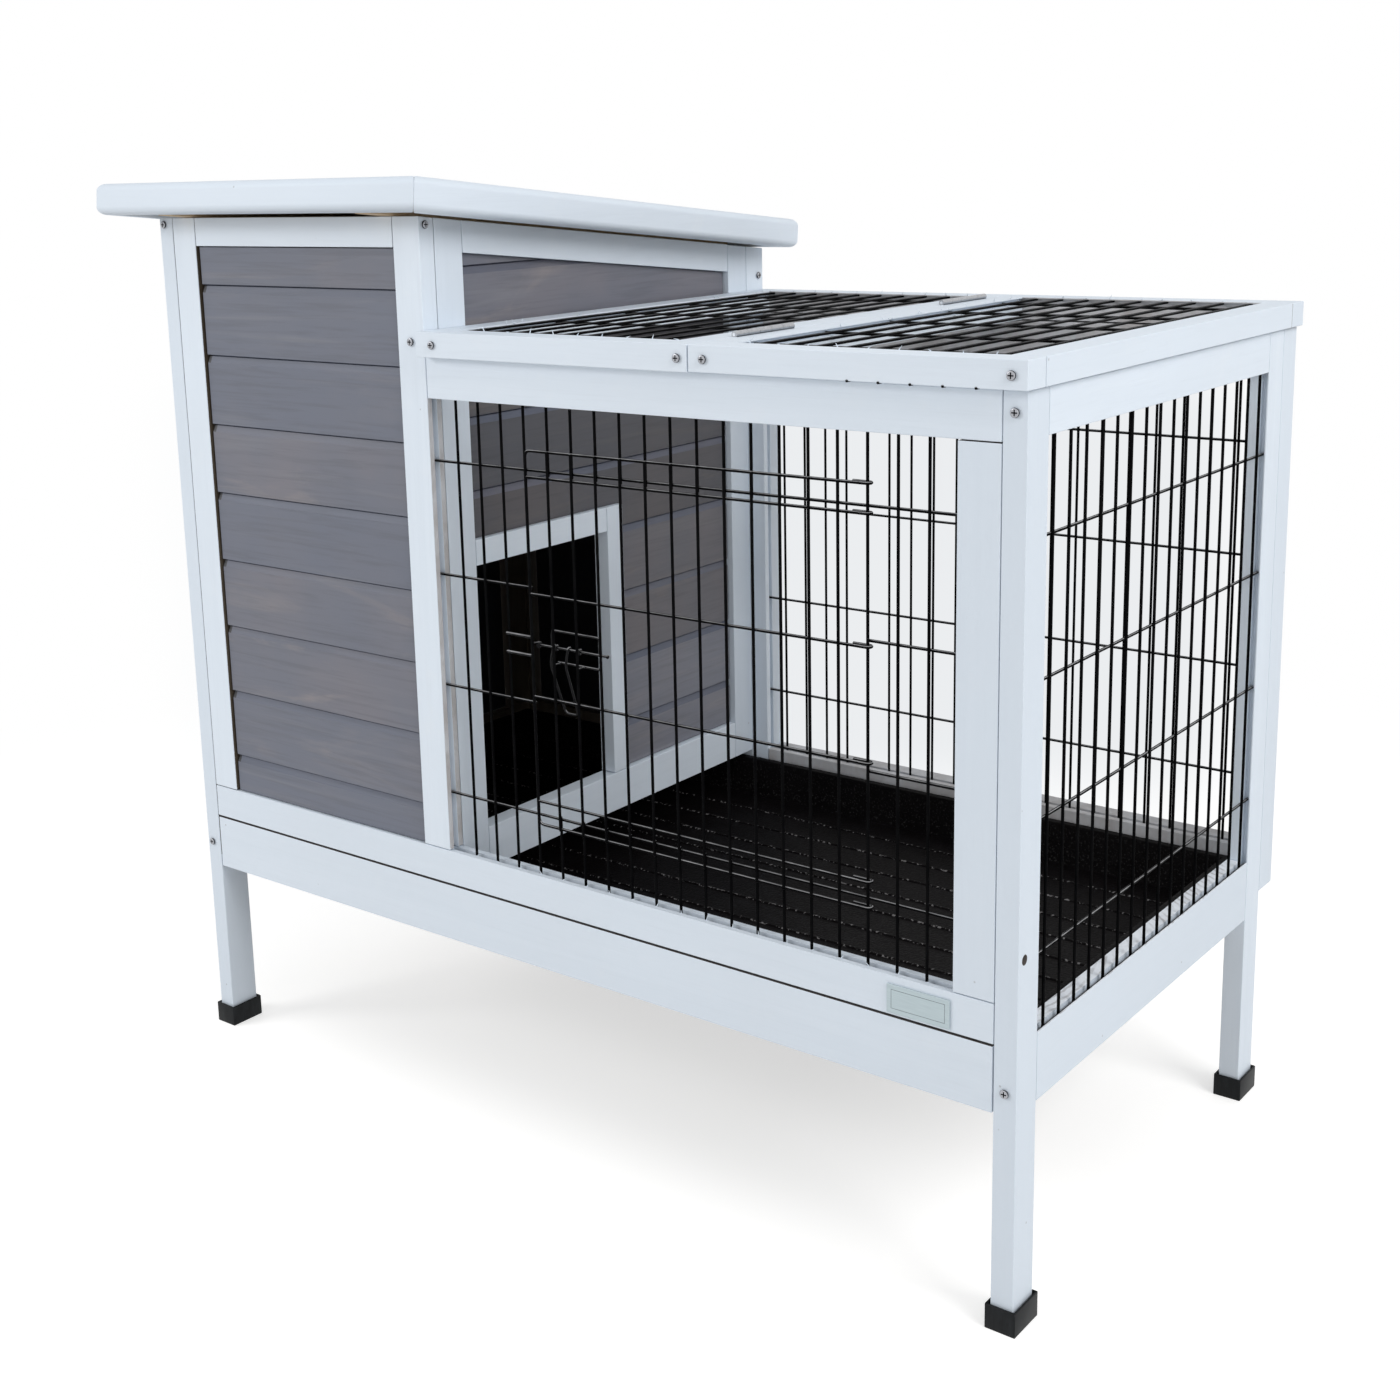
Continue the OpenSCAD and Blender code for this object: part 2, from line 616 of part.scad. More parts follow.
module roof_hinge_fixed() color(zinc) place() for (x = roof_hinge_x)
  translate([x - roof_hinge_len / 2, roof_axle_y, roof_axle_z]) difference() {
    union() {
      knuckles_x(true);
      box(0, roof_hinge_len, back_y - roof_axle_y, back_y - roof_axle_y + leaf_t, -back_leaf, -0.2);
      for (k = [0, 2, 4]) box(k * rseg + 0.15, (k + 1) * rseg - 0.15, back_y - roof_axle_y, 0, -1.2, -0.2);
    }
    clear_x(true);
  }
module hinge_pins() color(zinc) place() {
  for (y = lid_hinge_y) translate([seam_x, y - lid_hinge_len / 2, hinge_z]) rotate([-90, 0, 0])
    cylinder(r = pin_r, h = lid_hinge_len);
  for (x = roof_hinge_x) translate([x - roof_hinge_len / 2, roof_axle_y, roof_axle_z]) rotate([0, 90, 0])
    cylinder(r = pin_r, h = roof_hinge_len);
}

// ---- wire door in the run front, hung on one upright of the front panel ----
loop_R = wire_d + gap;
door_hy = front_wy - loop_R;
door_vy = door_hy - lay;
door_x0 = wx(latch_n) + 2.9;
door_rows = [hz(0) - 6.5, hz(0) + 14, hz(1) + 7, hz(2) - 4, hz(n_rows) - 5, hz(n_rows) + 17];
module wire_door() color(black_wire) place() {
  for (i = [latch_n + 1 : hinge_n - 1])
    wire_z(wx(i) + 3, door_vy, door_rows[0] - wire_d / 2, door_rows[5] + wire_d / 2);
  wire_z(door_x0, door_vy, door_rows[0] - wire_d / 2, door_rows[5] + wire_d / 2);
  for (z = door_rows) wire_x(door_x0 - 2, wx(hinge_n) - 5, door_hy, z);
}
// The ends of the door's cross wires, bent round the upright they hang on
module door_loops() color(black_wire) place() for (z = door_rows) {
  translate([wx(hinge_n), front_wy, z]) rotate([0, 0, -90]) rotate_extrude(angle = 270)
    translate([loop_R, 0]) circle(r = wire_d / 2, $fn = 24);
  translate([wx(hinge_n) - 5, door_hy, z]) rotate([0, 90, 0]) cylinder(r = wire_d / 2, h = 5, $fn = 24);
}

// ---- sliding hairpin latch with a hanging finger loop ----
bolt_r = 1.1;
bolt_y = front_wy + wire_d / 2 + 0.65 + bolt_r;
bolt_rise = 51;
bolt_z = hz(1) + bolt_rise;
bolt_up = 14.5;
bolt_x0 = wx(latch_n) + 3.3;
bolt_len = 69;
bolt_x1 = bolt_x0 + bolt_len;
module rod_x(x0, x1, y, z) translate([x0, y, z]) rotate([0, 90, 0])
  cylinder(r = bolt_r, h = x1 - x0, $fn = 24);
module latch_bolt() color(black_wire) place() {
  rod_x(bolt_x0, bolt_x1, bolt_y, bolt_z);
  rod_x(bolt_x0 + 14, bolt_x1, bolt_y, bolt_z + bolt_up);
  translate([bolt_x1, bolt_y, bolt_z + bolt_up / 2]) rotate([90, 0, 0]) rotate([0, 0, -90])
    rotate_extrude(angle = 180, $fn = 48) translate([bolt_up / 2, 0]) circle(r = bolt_r, $fn = 24);
}
eye_R = 2.7;
// An eye of wire round the bolt, standing off an upright of the door
module eye(x, z) {
  translate([x, bolt_y, z]) rotate([0, 90, 0]) rotate_extrude($fn = 32)
    translate([eye_R, 0]) circle(r = bolt_r, $fn = 16);
  translate([x, door_vy, z]) rotate([-90, 0, 0]) cylinder(r = bolt_r, h = bolt_y - eye_R - door_vy, $fn = 24);
}
guide_x = wx(latch_n + 2) + 3;
module latch_guides() color(black_wire) place() difference() {
  union() {
    eye(guide_x, bolt_z);
    eye(guide_x, bolt_z + bolt_up);
    eye(wx(latch_n + 1) + 3, bolt_z + bolt_up);
  }
  for (x = [guide_x, wx(latch_n + 1) + 3]) wire_z(x, door_vy, bolt_z - 20, bolt_z + bolt_up + 20);
}
handle_x = wx(latch_n + 1) + 4;
handle_w = 15;
handle_len = 48;
handle_r = 1;
module latch_handle() color(black_wire) place() translate([handle_x, bolt_y, bolt_z]) {
  for (x = [0, handle_w]) {
    translate([x, 0, 0]) rotate([0, 90, 0]) rotate_extrude($fn = 32)
      translate([2.4, 0]) circle(r = handle_r, $fn = 16);
    translate([x, 0, -handle_len]) cylinder(r = handle_r, h = handle_len - 2.2, $fn = 24);
  }
  translate([handle_w / 2, 0, -handle_len]) rotate([90, 0, 0]) rotate([0, 0, 180])
    rotate_extrude(angle = 180, $fn = 48) translate([handle_w / 2, 0]) circle(r = handle_r, $fn = 24);
}
module latch_receiver() color(black_wire) place() difference() {
  for (z = [bolt_z - 9, bolt_z + 7]) wire_x(wx(latch_n - 1) - 1, wx(latch_n) + 1, front_wy - lay, z);
  for (i = [latch_n - 1, latch_n]) wire_z(wx(i), front_wy, bolt_z - 30, bolt_z + 30);
}

// ---- tray ----
pan_z = side_z + 6;
pan_top = tray_z + tray_h - 0.5;
pan_x0 = post_x + 8;
pan_x1 = width - post_x - 8;
pan_y1 = depth - 14;
flange = 6;
module tray_pan() color(black_plastic) place() difference() {
  union() {
    box(pan_x0, pan_x1, frame_t, pan_y1, pan_z, pan_top);
    box(pan_x0 - flange, pan_x1 + flange, frame_t, pan_y1 + flange, pan_top - tray_wall, pan_top);
  }
  box(pan_x0 + tray_wall, pan_x1 - tray_wall, frame_t + tray_wall, pan_y1 - tray_wall,
    pan_z + tray_wall, pan_top + 1);
}
module tray_front() color(white_paint) place()
  box(post_x + 0.5, width - post_x - 0.5, 0, frame_t, tray_z, tray_z + tray_h);
module tray_runners() color(bare_wood) place() {
  box(post_x, post_x + 16, post_y, depth - post_y, side_z, pan_z - gap);
  box(width - post_x - 16, width - post_x, post_y, depth - post_y, side_z, pan_z - gap);
}

// ---- screws ----
module frame_screws() color(zinc) place() {
  translate([s_post_top[0], 0, s_post_top[1]]) screw();
  translate([s_post_low[0], 0, s_post_low[1]]) screw();
  translate([s_stile_mid[0], 0, s_stile_mid[1]]) screw();
  translate([s_right_top[0], 0, s_right_top[1]]) screw();
  translate([s_right_low[0], 0, s_right_low[1]]) screw();
  translate([house_w, side_scr_y, s_stile_top]) rotate([0, 0, 90]) screw();
  translate([house_w, depth + back_t * 0.7, s_back_z]) rotate([0, 0, 90]) screw();
  translate([fix_x0 + scr_in, ty0, top_scr_z]) screw();
  translate([fix_x1 - scr_in / 2, ty0, top_scr_z]) screw();
}
module lid_screws() color(zinc) place() {
  translate([lid_x0 + scr_in * 0.75, ty0, top_scr_z]) screw();
  translate([lid_x1 - scr_in * 0.63, ty0, top_scr_z]) screw();
}

post_front_left();
post_rear_left();
post_front_right();
post_rear_right();
foot_caps();
bottom_rail_front();
blank_plate();
side_rail_left_bottom();
side_rail_left_top();
side_rail_right_bottom();
side_rail_right_top();
house_front_stile_left();
house_front_stile_right();
house_front_top_rail();
house_front_boards();
house_left_boards();
divider_stile_front();
divider_stile_rear();
divider_top_rail();
divider_bottom_rail();
divider_boards();
doorway_header();
doorway_jamb();
run_front_top_rail();
run_front_stile();
run_front_mesh();
run_side_mesh();
house_back_stiles();
house_back_rails();
house_back_boards();
run_back_stiles();
run_back_rails();
run_back_mesh();
top_fixed_rails();
top_fixed_mesh();
tray_runners();
frame_screws();
latch_receiver();
lid_hinge_fixed();
roof_hinge_fixed();
hinge_pins();
lid_rails();
lid_mesh();
lid_hinge_moving();
lid_screws();
roof_panel();
roof_felt();
roof_edging();
roof_battens();
roof_hinge_moving();
wire_door();
door_loops();
latch_guides();
latch_bolt();
latch_handle();
tray_pan();
tray_front();
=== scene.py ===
"""A raised timber rabbit hutch: white-washed frame, grey-stained shiplap boards,
black welded wire run with a hinged top and a latched door, black plastic tray.
Metres, +X along the front towards the run, +Y to the back, +Z up."""

import json
import math
import random

import bpy
import bmesh
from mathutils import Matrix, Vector

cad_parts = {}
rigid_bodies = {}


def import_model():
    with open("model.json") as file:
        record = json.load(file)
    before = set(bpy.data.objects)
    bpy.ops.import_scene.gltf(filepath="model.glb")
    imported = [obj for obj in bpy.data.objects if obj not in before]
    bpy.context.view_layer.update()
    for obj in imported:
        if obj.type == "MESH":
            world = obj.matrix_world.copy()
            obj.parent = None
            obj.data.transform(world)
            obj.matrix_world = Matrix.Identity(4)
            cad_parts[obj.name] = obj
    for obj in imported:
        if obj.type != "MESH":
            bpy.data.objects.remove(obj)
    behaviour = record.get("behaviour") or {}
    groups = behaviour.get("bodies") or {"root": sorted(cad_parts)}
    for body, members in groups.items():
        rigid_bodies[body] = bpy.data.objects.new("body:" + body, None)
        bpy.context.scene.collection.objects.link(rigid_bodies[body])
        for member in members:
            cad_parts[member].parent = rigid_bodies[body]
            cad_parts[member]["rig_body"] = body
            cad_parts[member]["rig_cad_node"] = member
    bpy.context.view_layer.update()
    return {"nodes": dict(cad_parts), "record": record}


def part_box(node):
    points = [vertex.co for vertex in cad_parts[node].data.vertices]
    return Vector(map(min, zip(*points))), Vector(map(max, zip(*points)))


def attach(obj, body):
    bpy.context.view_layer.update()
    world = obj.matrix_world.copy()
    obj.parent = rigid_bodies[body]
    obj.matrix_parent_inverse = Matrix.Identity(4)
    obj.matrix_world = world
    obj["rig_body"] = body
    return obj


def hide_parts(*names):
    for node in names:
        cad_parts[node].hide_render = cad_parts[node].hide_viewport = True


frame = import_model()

MM = 0.001
rng = random.Random(7)

# Sizes shared with the frame, in metres
wire_dia = 2.5 * MM
wire_lay = 2.0 * MM
wire_pitch = 25.2 * MM
wide_pitch = 99.6 * MM
groove_depth = 6.0 * MM
board_pitch = 65.5 * MM
roof_height = 0.817
roof_slope = math.radians(6.0)

# Drops from the roof's underside, at the front: to the first groove of the front boards
# and of the other boards, and to the underside of the sloped rails
front_drop = 62.6 * MM
side_drop = 45.5 * MM
rail_drop = 28.5 * MM


# ---------------------------------------------------------------- materials

def new_material(name, **values):
    """A material, its node tree and its shader; values are those of the shader's sockets"""
    mat = bpy.data.materials.new(name)
    mat.use_nodes = True
    tree = mat.node_tree
    shader = tree.nodes["Principled BSDF"]
    for key, value in values.items():
        shader.inputs[key.replace("_", " ")].default_value = value
    return mat, tree, shader


def node(tree, kind, **settings):
    """Adds a shader node; settings are its attributes, or its sockets where they start with in_"""
    made = tree.nodes.new(kind)
    for key, value in settings.items():
        if key.startswith("in_"):
            made.inputs[key[3:].replace("_", " ")].default_value = value
        else:
            setattr(made, key, value)
    return made


def object_coords(tree, scale=(1, 1, 1), location=(0, 0, 0)):
    coords = node(tree, "ShaderNodeTexCoord")
    mapping = node(tree, "ShaderNodeMapping")
    mapping.inputs["Scale"].default_value = scale
    mapping.inputs["Location"].default_value = location
    tree.links.new(coords.outputs["Object"], mapping.inputs["Vector"])
    return mapping.outputs["Vector"]


def noise(tree, vector, scale, detail=4.0, roughness=0.55, distortion=0.0):
    made = node(tree, "ShaderNodeTexNoise", in_Scale=scale, in_Detail=detail,
                in_Roughness=roughness, in_Distortion=distortion)
    tree.links.new(vector, made.inputs["Vector"])
    return made.outputs["Fac"]


def ramp(tree, fac, stops, smooth="LINEAR"):
    made = node(tree, "ShaderNodeValToRGB")
    made.color_ramp.interpolation = smooth
    while len(made.color_ramp.elements) < len(stops):
        made.color_ramp.elements.new(0.5)
    for element, (place, colour) in zip(made.color_ramp.elements, stops):
        element.position = place
        element.color = (*colour, 1) if len(colour) == 3 else (colour[0],) * 3 + (1,)
    tree.links.new(fac, made.inputs["Fac"])
    return made.outputs["Color"]


def blend(tree, fac, first, second, mode="MIX"):
    """A colour mix; fac, first and second are sockets or plain values"""
    made = node(tree, "ShaderNodeMix", data_type="RGBA", blend_type=mode)
    for socket, value in (("Factor", fac), ("A", first), ("B", second)):
        target = next(s for s in made.inputs if s.name == socket and
                      s.type == ("VALUE" if socket == "Factor" else "RGBA"))
        if isinstance(value, bpy.types.NodeSocket):
            tree.links.new(value, target)
        elif socket == "Factor":
            target.default_value = value
        else:
            target.default_value = (*value, 1)
    return next(s for s in made.outputs if s.type == "RGBA")


def arithmetic(tree, operation, first, second=0.5):
    made = node(tree, "ShaderNodeMath", operation=operation)
    for i, value in enumerate((first, second)):
        if isinstance(value, bpy.types.NodeSocket):
            tree.links.new(value, made.inputs[i])
        else:
            made.inputs[i].default_value = value
    return made.outputs["Value"]


def bump(tree, shader, height, strength, distance):
    made = node(tree, "ShaderNodeBump", in_Strength=strength, in_Distance=distance)
    tree.links.new(height, made.inputs["Height"])
    tree.links.new(made.outputs["Normal"], shader.inputs["Normal"])


# The scale that draws a pattern out along one axis, as grain
GRAIN_STRETCH = {"X": (0.045, 1, 1), "Y": (1, 0.045, 1), "Z": (1, 1, 0.045)}


def piece_tone(tree):
    """The tone given to each length of timber, 0 to 1, from its own attribute"""
    made = node(tree, "ShaderNodeAttribute", attribute_name="tone")
    return made.outputs["Fac"]


def seen_directly(tree):
    """1 where a camera, a reflection or a look through glass meets the surface, else 0"""
    paths = node(tree, "ShaderNodeLightPath")
    seen = arithmetic(tree, "MAXIMUM", paths.outputs["Is Camera Ray"], paths.outputs["Is Glossy Ray"])
    return arithmetic(tree, "MAXIMUM", seen, paths.outputs["Is Transmission Ray"])


def washed_pine(along):
    """Thin bluish-white wash over pine, the grain just showing, running along one axis"""
    mat, tree, shader = new_material("white_wash_" + along.lower(), Roughness=0.52, Specular_IOR_Level=0.35)
    stretched = object_coords(tree, GRAIN_STRETCH[along])
    plain = object_coords(tree)
    fine = noise(tree, stretched, 420, 5, 0.6, 0.15)
    broad = noise(tree, stretched, 75, 3, 0.5, 0.6)
    cloud = noise(tree, plain, 7, 2, 0.5)
    dabs = noise(tree, plain, 34, 4, 0.6)
    paint = ramp(tree, broad, [(0.30, (0.712, 0.780, 0.858)), (0.55, (0.730, 0.798, 0.876)),
                               (0.78, (0.745, 0.811, 0.888))])
    paint = blend(tree, ramp(tree, fine, [(0.34, (0.08,)), (0.47, (0.0,))]), paint, (0.55, 0.59, 0.65))
    paint = blend(tree, ramp(tree, cloud, [(0.40, (0.0,)), (0.72, (0.20,))]), paint, (0.68, 0.725, 0.78))
    paint = blend(tree, ramp(tree, dabs, [(0.56, (0.0,)), (0.72, (0.16,))]), paint, (0.80, 0.835, 0.87))
    # Each length is darkened by its tone: a random one, or on the lengths in front one set as painted shade
    paint = blend(tree, arithmetic(tree, "MULTIPLY", piece_tone(tree), 0.60), paint, (0.64, 0.705, 0.78))
    knots = node(tree, "ShaderNodeTexVoronoi", in_Scale=5.5, in_Randomness=1.0)
    tree.links.new(object_coords(tree, (1, 1, 1), (0.013, 0.027, 0.041)), knots.inputs["Vector"])
    knot = ramp(tree, knots.outputs["Distance"], [(0.020, (0.26,)), (0.034, (0.0,))], "EASE")
    paint = blend(tree, knot, paint, (0.52, 0.52, 0.50))
    specks = node(tree, "ShaderNodeTexVoronoi", in_Scale=26.0, in_Randomness=1.0)
    tree.links.new(plain, specks.inputs["Vector"])
    speck = ramp(tree, specks.outputs["Distance"], [(0.018, (0.5,)), (0.030, (0.0,))])
    paint = blend(tree, speck, paint, (0.34, 0.34, 0.35))
    tree.links.new(paint, shader.inputs["Base Color"])
    height = arithmetic(tree, "ADD", fine, arithmetic(tree, "MULTIPLY", broad, 0.8))
    bump(tree, shader, height, 0.22, 0.0005)
    return mat


def thin_wash(name, light, dark, sawn):
    """Wash brushed thinly over raw pine; sawn shows the arcs that a round saw leaves"""
    mat, tree, shader = new_material(name, Roughness=0.68)
    plain = object_coords(tree)
    fine = noise(tree, object_coords(tree, (0.4, 0.4, 0.4)), 300, 5, 0.65)
    drag = noise(tree, plain, 22, 4, 0.6, 0.8)
    paint = ramp(tree, drag, [(0.36, dark), (0.62, light)])
    if sawn:
        arcs = node(tree, "ShaderNodeTexWave", wave_type="RINGS", rings_direction="Z", in_Scale=46,
                    in_Distortion=1.6, in_Detail=2.0, in_Detail_Scale=3.0)
        tree.links.new(object_coords(tree, (1, 1, 1), (-0.30, 0.12, 0)), arcs.inputs["Vector"])
        cut = ramp(tree, arcs.outputs["Fac"], [(0.10, (0.55,)), (0.42, (0.0,))])
        cut = arithmetic(tree, "MULTIPLY", cut, ramp(tree, drag, [(0.42, (1.0,)), (0.56, (0.15,))]))
        paint = blend(tree, cut, paint, (0.30, 0.29, 0.29))
    tree.links.new(paint, shader.inputs["Base Color"])
    bump(tree, shader, fine, 0.35, 0.0005)
    return mat


def rubbed_arris():
    """The eased edges, where the wash has rubbed thin and grime and bare pine show"""
    mat, tree, shader = new_material("rubbed_arris", Roughness=0.62)
    plain = object_coords(tree)
    wear_and_painted_highlight = noise(tree, plain, 90, 6, 0.7)
    fine = noise(tree, plain, 600, 3, 0.6)
    paint = ramp(tree, fine, [(0.35, (0.58, 0.63, 0.69)), (0.65, (0.70, 0.765, 0.84))])
    bare = ramp(tree, fine, [(0.3, (0.30, 0.26, 0.21)), (0.7, (0.50, 0.46, 0.40))])
    tree.links.new(blend(tree, ramp(tree, wear_and_painted_highlight, [(0.60, (0.0,)), (0.68, (0.75,))]), paint, bare),
                   shader.inputs["Base Color"])
    bump(tree, shader, fine, 0.4, 0.0004)
    return mat


def sawn_end(name, light, dark, rings_shown=True):
    """End grain of a cut length: fine pores and, where it is bare, growth rings"""
    mat, tree, shader = new_material(name, Roughness=0.78)
    plain = object_coords(tree)
    pores = noise(tree, plain, 900, 4, 0.7)
    mixed = pores
    if rings_shown:
        rings = node(tree, "ShaderNodeTexWave", wave_type="RINGS", in_Scale=110, in_Distortion=3.0,
                     in_Detail=3.0, in_Detail_Scale=1.2)
        tree.links.new(plain, rings.inputs["Vector"])
        mixed = arithmetic(tree, "MULTIPLY", pores, rings.outputs["Fac"])
    tree.links.new(ramp(tree, mixed, [(0.10, dark), (0.45, light)]), shader.inputs["Base Color"])
    bump(tree, shader, pores, 0.4, 0.0005)
    return mat


def stained_boards(name, along, brightness=1.0, tint=(1, 1, 1)):
    """Grey-stained shiplap, bluish or brownish by each board's own tone, grain along its length"""
    mat, tree, shader = new_material(name, Roughness=0.5, Specular_IOR_Level=0.45)

    def stained(*colour):
        return [c * brightness * t for c, t in zip(colour, tint)]

    tone = piece_tone(tree)
    coords = node(tree, "ShaderNodeTexCoord")
    moved = node(tree, "ShaderNodeVectorMath", operation="ADD")
    tree.links.new(coords.outputs["Object"], moved.inputs[0])
    tree.links.new(tone, moved.inputs[1])
    stretched = node(tree, "ShaderNodeMapping")
    stretched.inputs["Scale"].default_value = GRAIN_STRETCH[along]
    tree.links.new(moved.outputs["Vector"], stretched.inputs["Vector"])
    smeared = node(tree, "ShaderNodeMapping")
    smeared.inputs["Scale"].default_value = [max(0.16, v) for v in GRAIN_STRETCH[along]]
    tree.links.new(moved.outputs["Vector"], smeared.inputs["Vector"])
    grain = noise(tree, stretched.outputs["Vector"], 240, 6, 0.62, 0.4)
    streak = noise(tree, stretched.outputs["Vector"], 60, 4, 0.5, 1.2)
    smear = noise(tree, smeared.outputs["Vector"], 26, 5, 0.6, 0.9)
    blotch = noise(tree, moved.outputs["Vector"], 9, 3, 0.5)
    mixed = arithmetic(tree, "ADD", arithmetic(tree, "MULTIPLY", tone, 0.62),
                       arithmetic(tree, "MULTIPLY", arithmetic(tree, "SUBTRACT", blotch, 0.5), 1.5))
    stops = [(0.0, (0.140, 0.152, 0.192)), (0.38, (0.150, 0.157, 0.191)), (0.75, (0.174, 0.169, 0.194))]
    stain = ramp(tree, mixed, [(place, stained(*colour)) for place, colour in stops])
    pale = arithmetic(tree, "MULTIPLY", ramp(tree, smear, [(0.54, (0.0,)), (0.70, (0.75,))]),
                      arithmetic(tree, "MAXIMUM", tone, 0.25))
    stain = blend(tree, pale, stain, stained(0.262, 0.236, 0.232))
    stain = blend(tree, ramp(tree, grain, [(0.34, (0.34,)), (0.52, (0.0,))]), stain,
                  stained(0.092, 0.096, 0.116))
    stain = blend(tree, ramp(tree, streak, [(0.58, (0.0,)), (0.74, (0.40,))]), stain,
                  stained(0.215, 0.217, 0.238))
    tree.links.new(stain, shader.inputs["Base Color"])
    bump(tree, shader, arithmetic(tree, "ADD", grain, streak), 0.25, 0.0004)
    return mat


def bare_pine(along, name="bare_pine", brightness=1.0):
    mat, tree, shader = new_material(name + "_" + along.lower(), Roughness=0.7)
    stretched = object_coords(tree, GRAIN_STRETCH[along])
    grain = noise(tree, stretched, 260, 5, 0.6, 0.3)
    broad = noise(tree, stretched, 60, 3, 0.5, 1.0)
    wood = ramp(tree, broad, [(0.3, (0.50, 0.36, 0.22)), (0.7, (0.66, 0.52, 0.36))])
    wood = blend(tree, ramp(tree, grain, [(0.35, (0.5,)), (0.55, (0.0,))]), wood, (0.36, 0.24, 0.13))
    if brightness < 1:
        wood = blend(tree, 1.0, wood, (brightness,) * 3, "MULTIPLY")
    tree.links.new(wood, shader.inputs["Base Color"])
    bump(tree, shader, grain, 0.3, 0.0006)
    return mat


def facing_up(tree, stops):
    """How far a face looks up, run through a ramp"""
    coords = node(tree, "ShaderNodeTexCoord")
    parts = node(tree, "ShaderNodeSeparateXYZ")
    tree.links.new(coords.outputs["Normal"], parts.inputs["Vector"])
    return ramp(tree, parts.outputs["Z"], stops)


def black_coat(name, painted_highlight=0.85, sheen=0.012, brightness=1.0):
    """Black powder coat on wire, with a slight orange peel and a painted highlight on its upper side: a pale
    colour where light would glint
    """
    mat, tree, shader = new_material(name, Specular_IOR_Level=sheen)
    plain = object_coords(tree)
    peel = noise(tree, plain, 900, 2, 0.5)
    dust = noise(tree, plain, 60, 4, 0.6)
    stops = [(0.35, (0.0025, 0.0025, 0.0030)), (0.75, (0.0060, 0.0060, 0.0065))]
    coat_colour = ramp(tree, dust, [(place, [c * brightness for c in colour]) for place, colour in stops])
    # Painted highlight: faces that look up are paled, standing in for the glint of light along each wire's
    # top
    wear_and_painted_highlight = facing_up(tree, [(0.46, (0.0,)), (0.60, (painted_highlight,)), (0.82, (painted_highlight,)), (0.93, (painted_highlight * 0.08,))])
    wear_and_painted_highlight = arithmetic(tree, "MULTIPLY", wear_and_painted_highlight, ramp(tree, dust, [(0.35, (0.55,)), (0.65, (1.0,))]))
    tree.links.new(blend(tree, wear_and_painted_highlight, coat_colour, (0.50, 0.50, 0.51)), shader.inputs["Base Color"])
    tree.links.new(ramp(tree, peel, [(0.3, (0.26,)), (0.7, (0.38,))]), shader.inputs["Roughness"])
    bump(tree, shader, peel, 0.12, 0.0002)
    return mat


def tray_plastic(name="textured_tray_plastic", painted_sparkle=0.0):
    """Black vacuum-formed plastic with a leather-like texture, and pale flecks painted on its walls as
    painted sparkle; painted_sparkle is how strongly glints are painted on its ribs' upper faces
    """
    mat, tree, shader = new_material(name, Specular_IOR_Level=0.045)
    plain = object_coords(tree)
    cells = node(tree, "ShaderNodeTexVoronoi", feature="SMOOTH_F1", in_Scale=420, in_Randomness=1.0)
    tree.links.new(plain, cells.inputs["Vector"])
    fine = noise(tree, plain, 700, 3, 0.6)
    dust = noise(tree, plain, 25, 5, 0.65)
    colour = ramp(tree, dust, [(0.35, (0.0022, 0.0017, 0.0019)), (0.75, (0.0050, 0.0043, 0.0047))])
    # Painted sparkle: pale flecks on faces that look up
    flecks = ramp(tree, noise(tree, plain, 330, 2, 0.5), [(0.56, (0.0,)), (0.62, (1.0,))])
    painted_sparkle_mask = arithmetic(tree, "MULTIPLY", flecks, facing_up(tree, [(0.35, (0.0,)), (0.7, (1.0,))]))
    colour = blend(tree, arithmetic(tree, "MULTIPLY", painted_sparkle_mask, painted_sparkle), colour, (0.62, 0.60, 0.60))
    # Painted sparkle on the walls: pale flecks on faces that stand upright
    pores = ramp(tree, noise(tree, plain, 520, 3, 0.55), [(0.57, (0.0,)), (0.66, (0.20,))])
    upright = facing_up(tree, [(0.05, (1.0,)), (0.30, (0.0,))])
    tree.links.new(blend(tree, arithmetic(tree, "MULTIPLY", pores, upright), colour, (0.34, 0.33, 0.33)),
                   shader.inputs["Base Color"])
    tree.links.new(ramp(tree, fine, [(0.3, (0.50,)), (0.7, (0.66,))]), shader.inputs["Roughness"])
    height = arithmetic(tree, "ADD", cells.outputs["Distance"], arithmetic(tree, "MULTIPLY", fine, 0.5))
    bump(tree, shader, height, 0.5, 0.0007)
    return mat


def cap_plastic():
    mat, tree, shader = new_material("black_cap_plastic", Roughness=0.46, Specular_IOR_Level=0.14)
    plain = object_coords(tree)
    fine = noise(tree, plain, 1200, 3, 0.6)
    scuff = noise(tree, object_coords(tree, (1, 1, 0.2)), 160, 5, 0.7)
    tree.links.new(ramp(tree, scuff, [(0.45, (0.0060, 0.0070, 0.0080)), (0.75, (0.016, 0.018, 0.020))]),
                   shader.inputs["Base Color"])
    bump(tree, shader, fine, 0.15, 0.0002)
    return mat


def zinc_plate(name="zinc_plate", tint=(0.72, 0.74, 0.77)):
    mat, tree, shader = new_material(name, Metallic=1.0)
    plain = object_coords(tree)
    spangle = noise(tree, plain, 500, 4, 0.6)
    brushed = noise(tree, object_coords(tree, (1, 0.08, 1)), 1500, 2, 0.5)
    dull = tuple(c * 0.84 for c in tint)
    tree.links.new(ramp(tree, spangle, [(0.35, dull), (0.65, tint)]), shader.inputs["Base Color"])
    tree.links.new(ramp(tree, brushed, [(0.3, (0.24,)), (0.7, (0.42,))]), shader.inputs["Roughness"])
    bump(tree, shader, brushed, 0.08, 0.0001)
    return mat


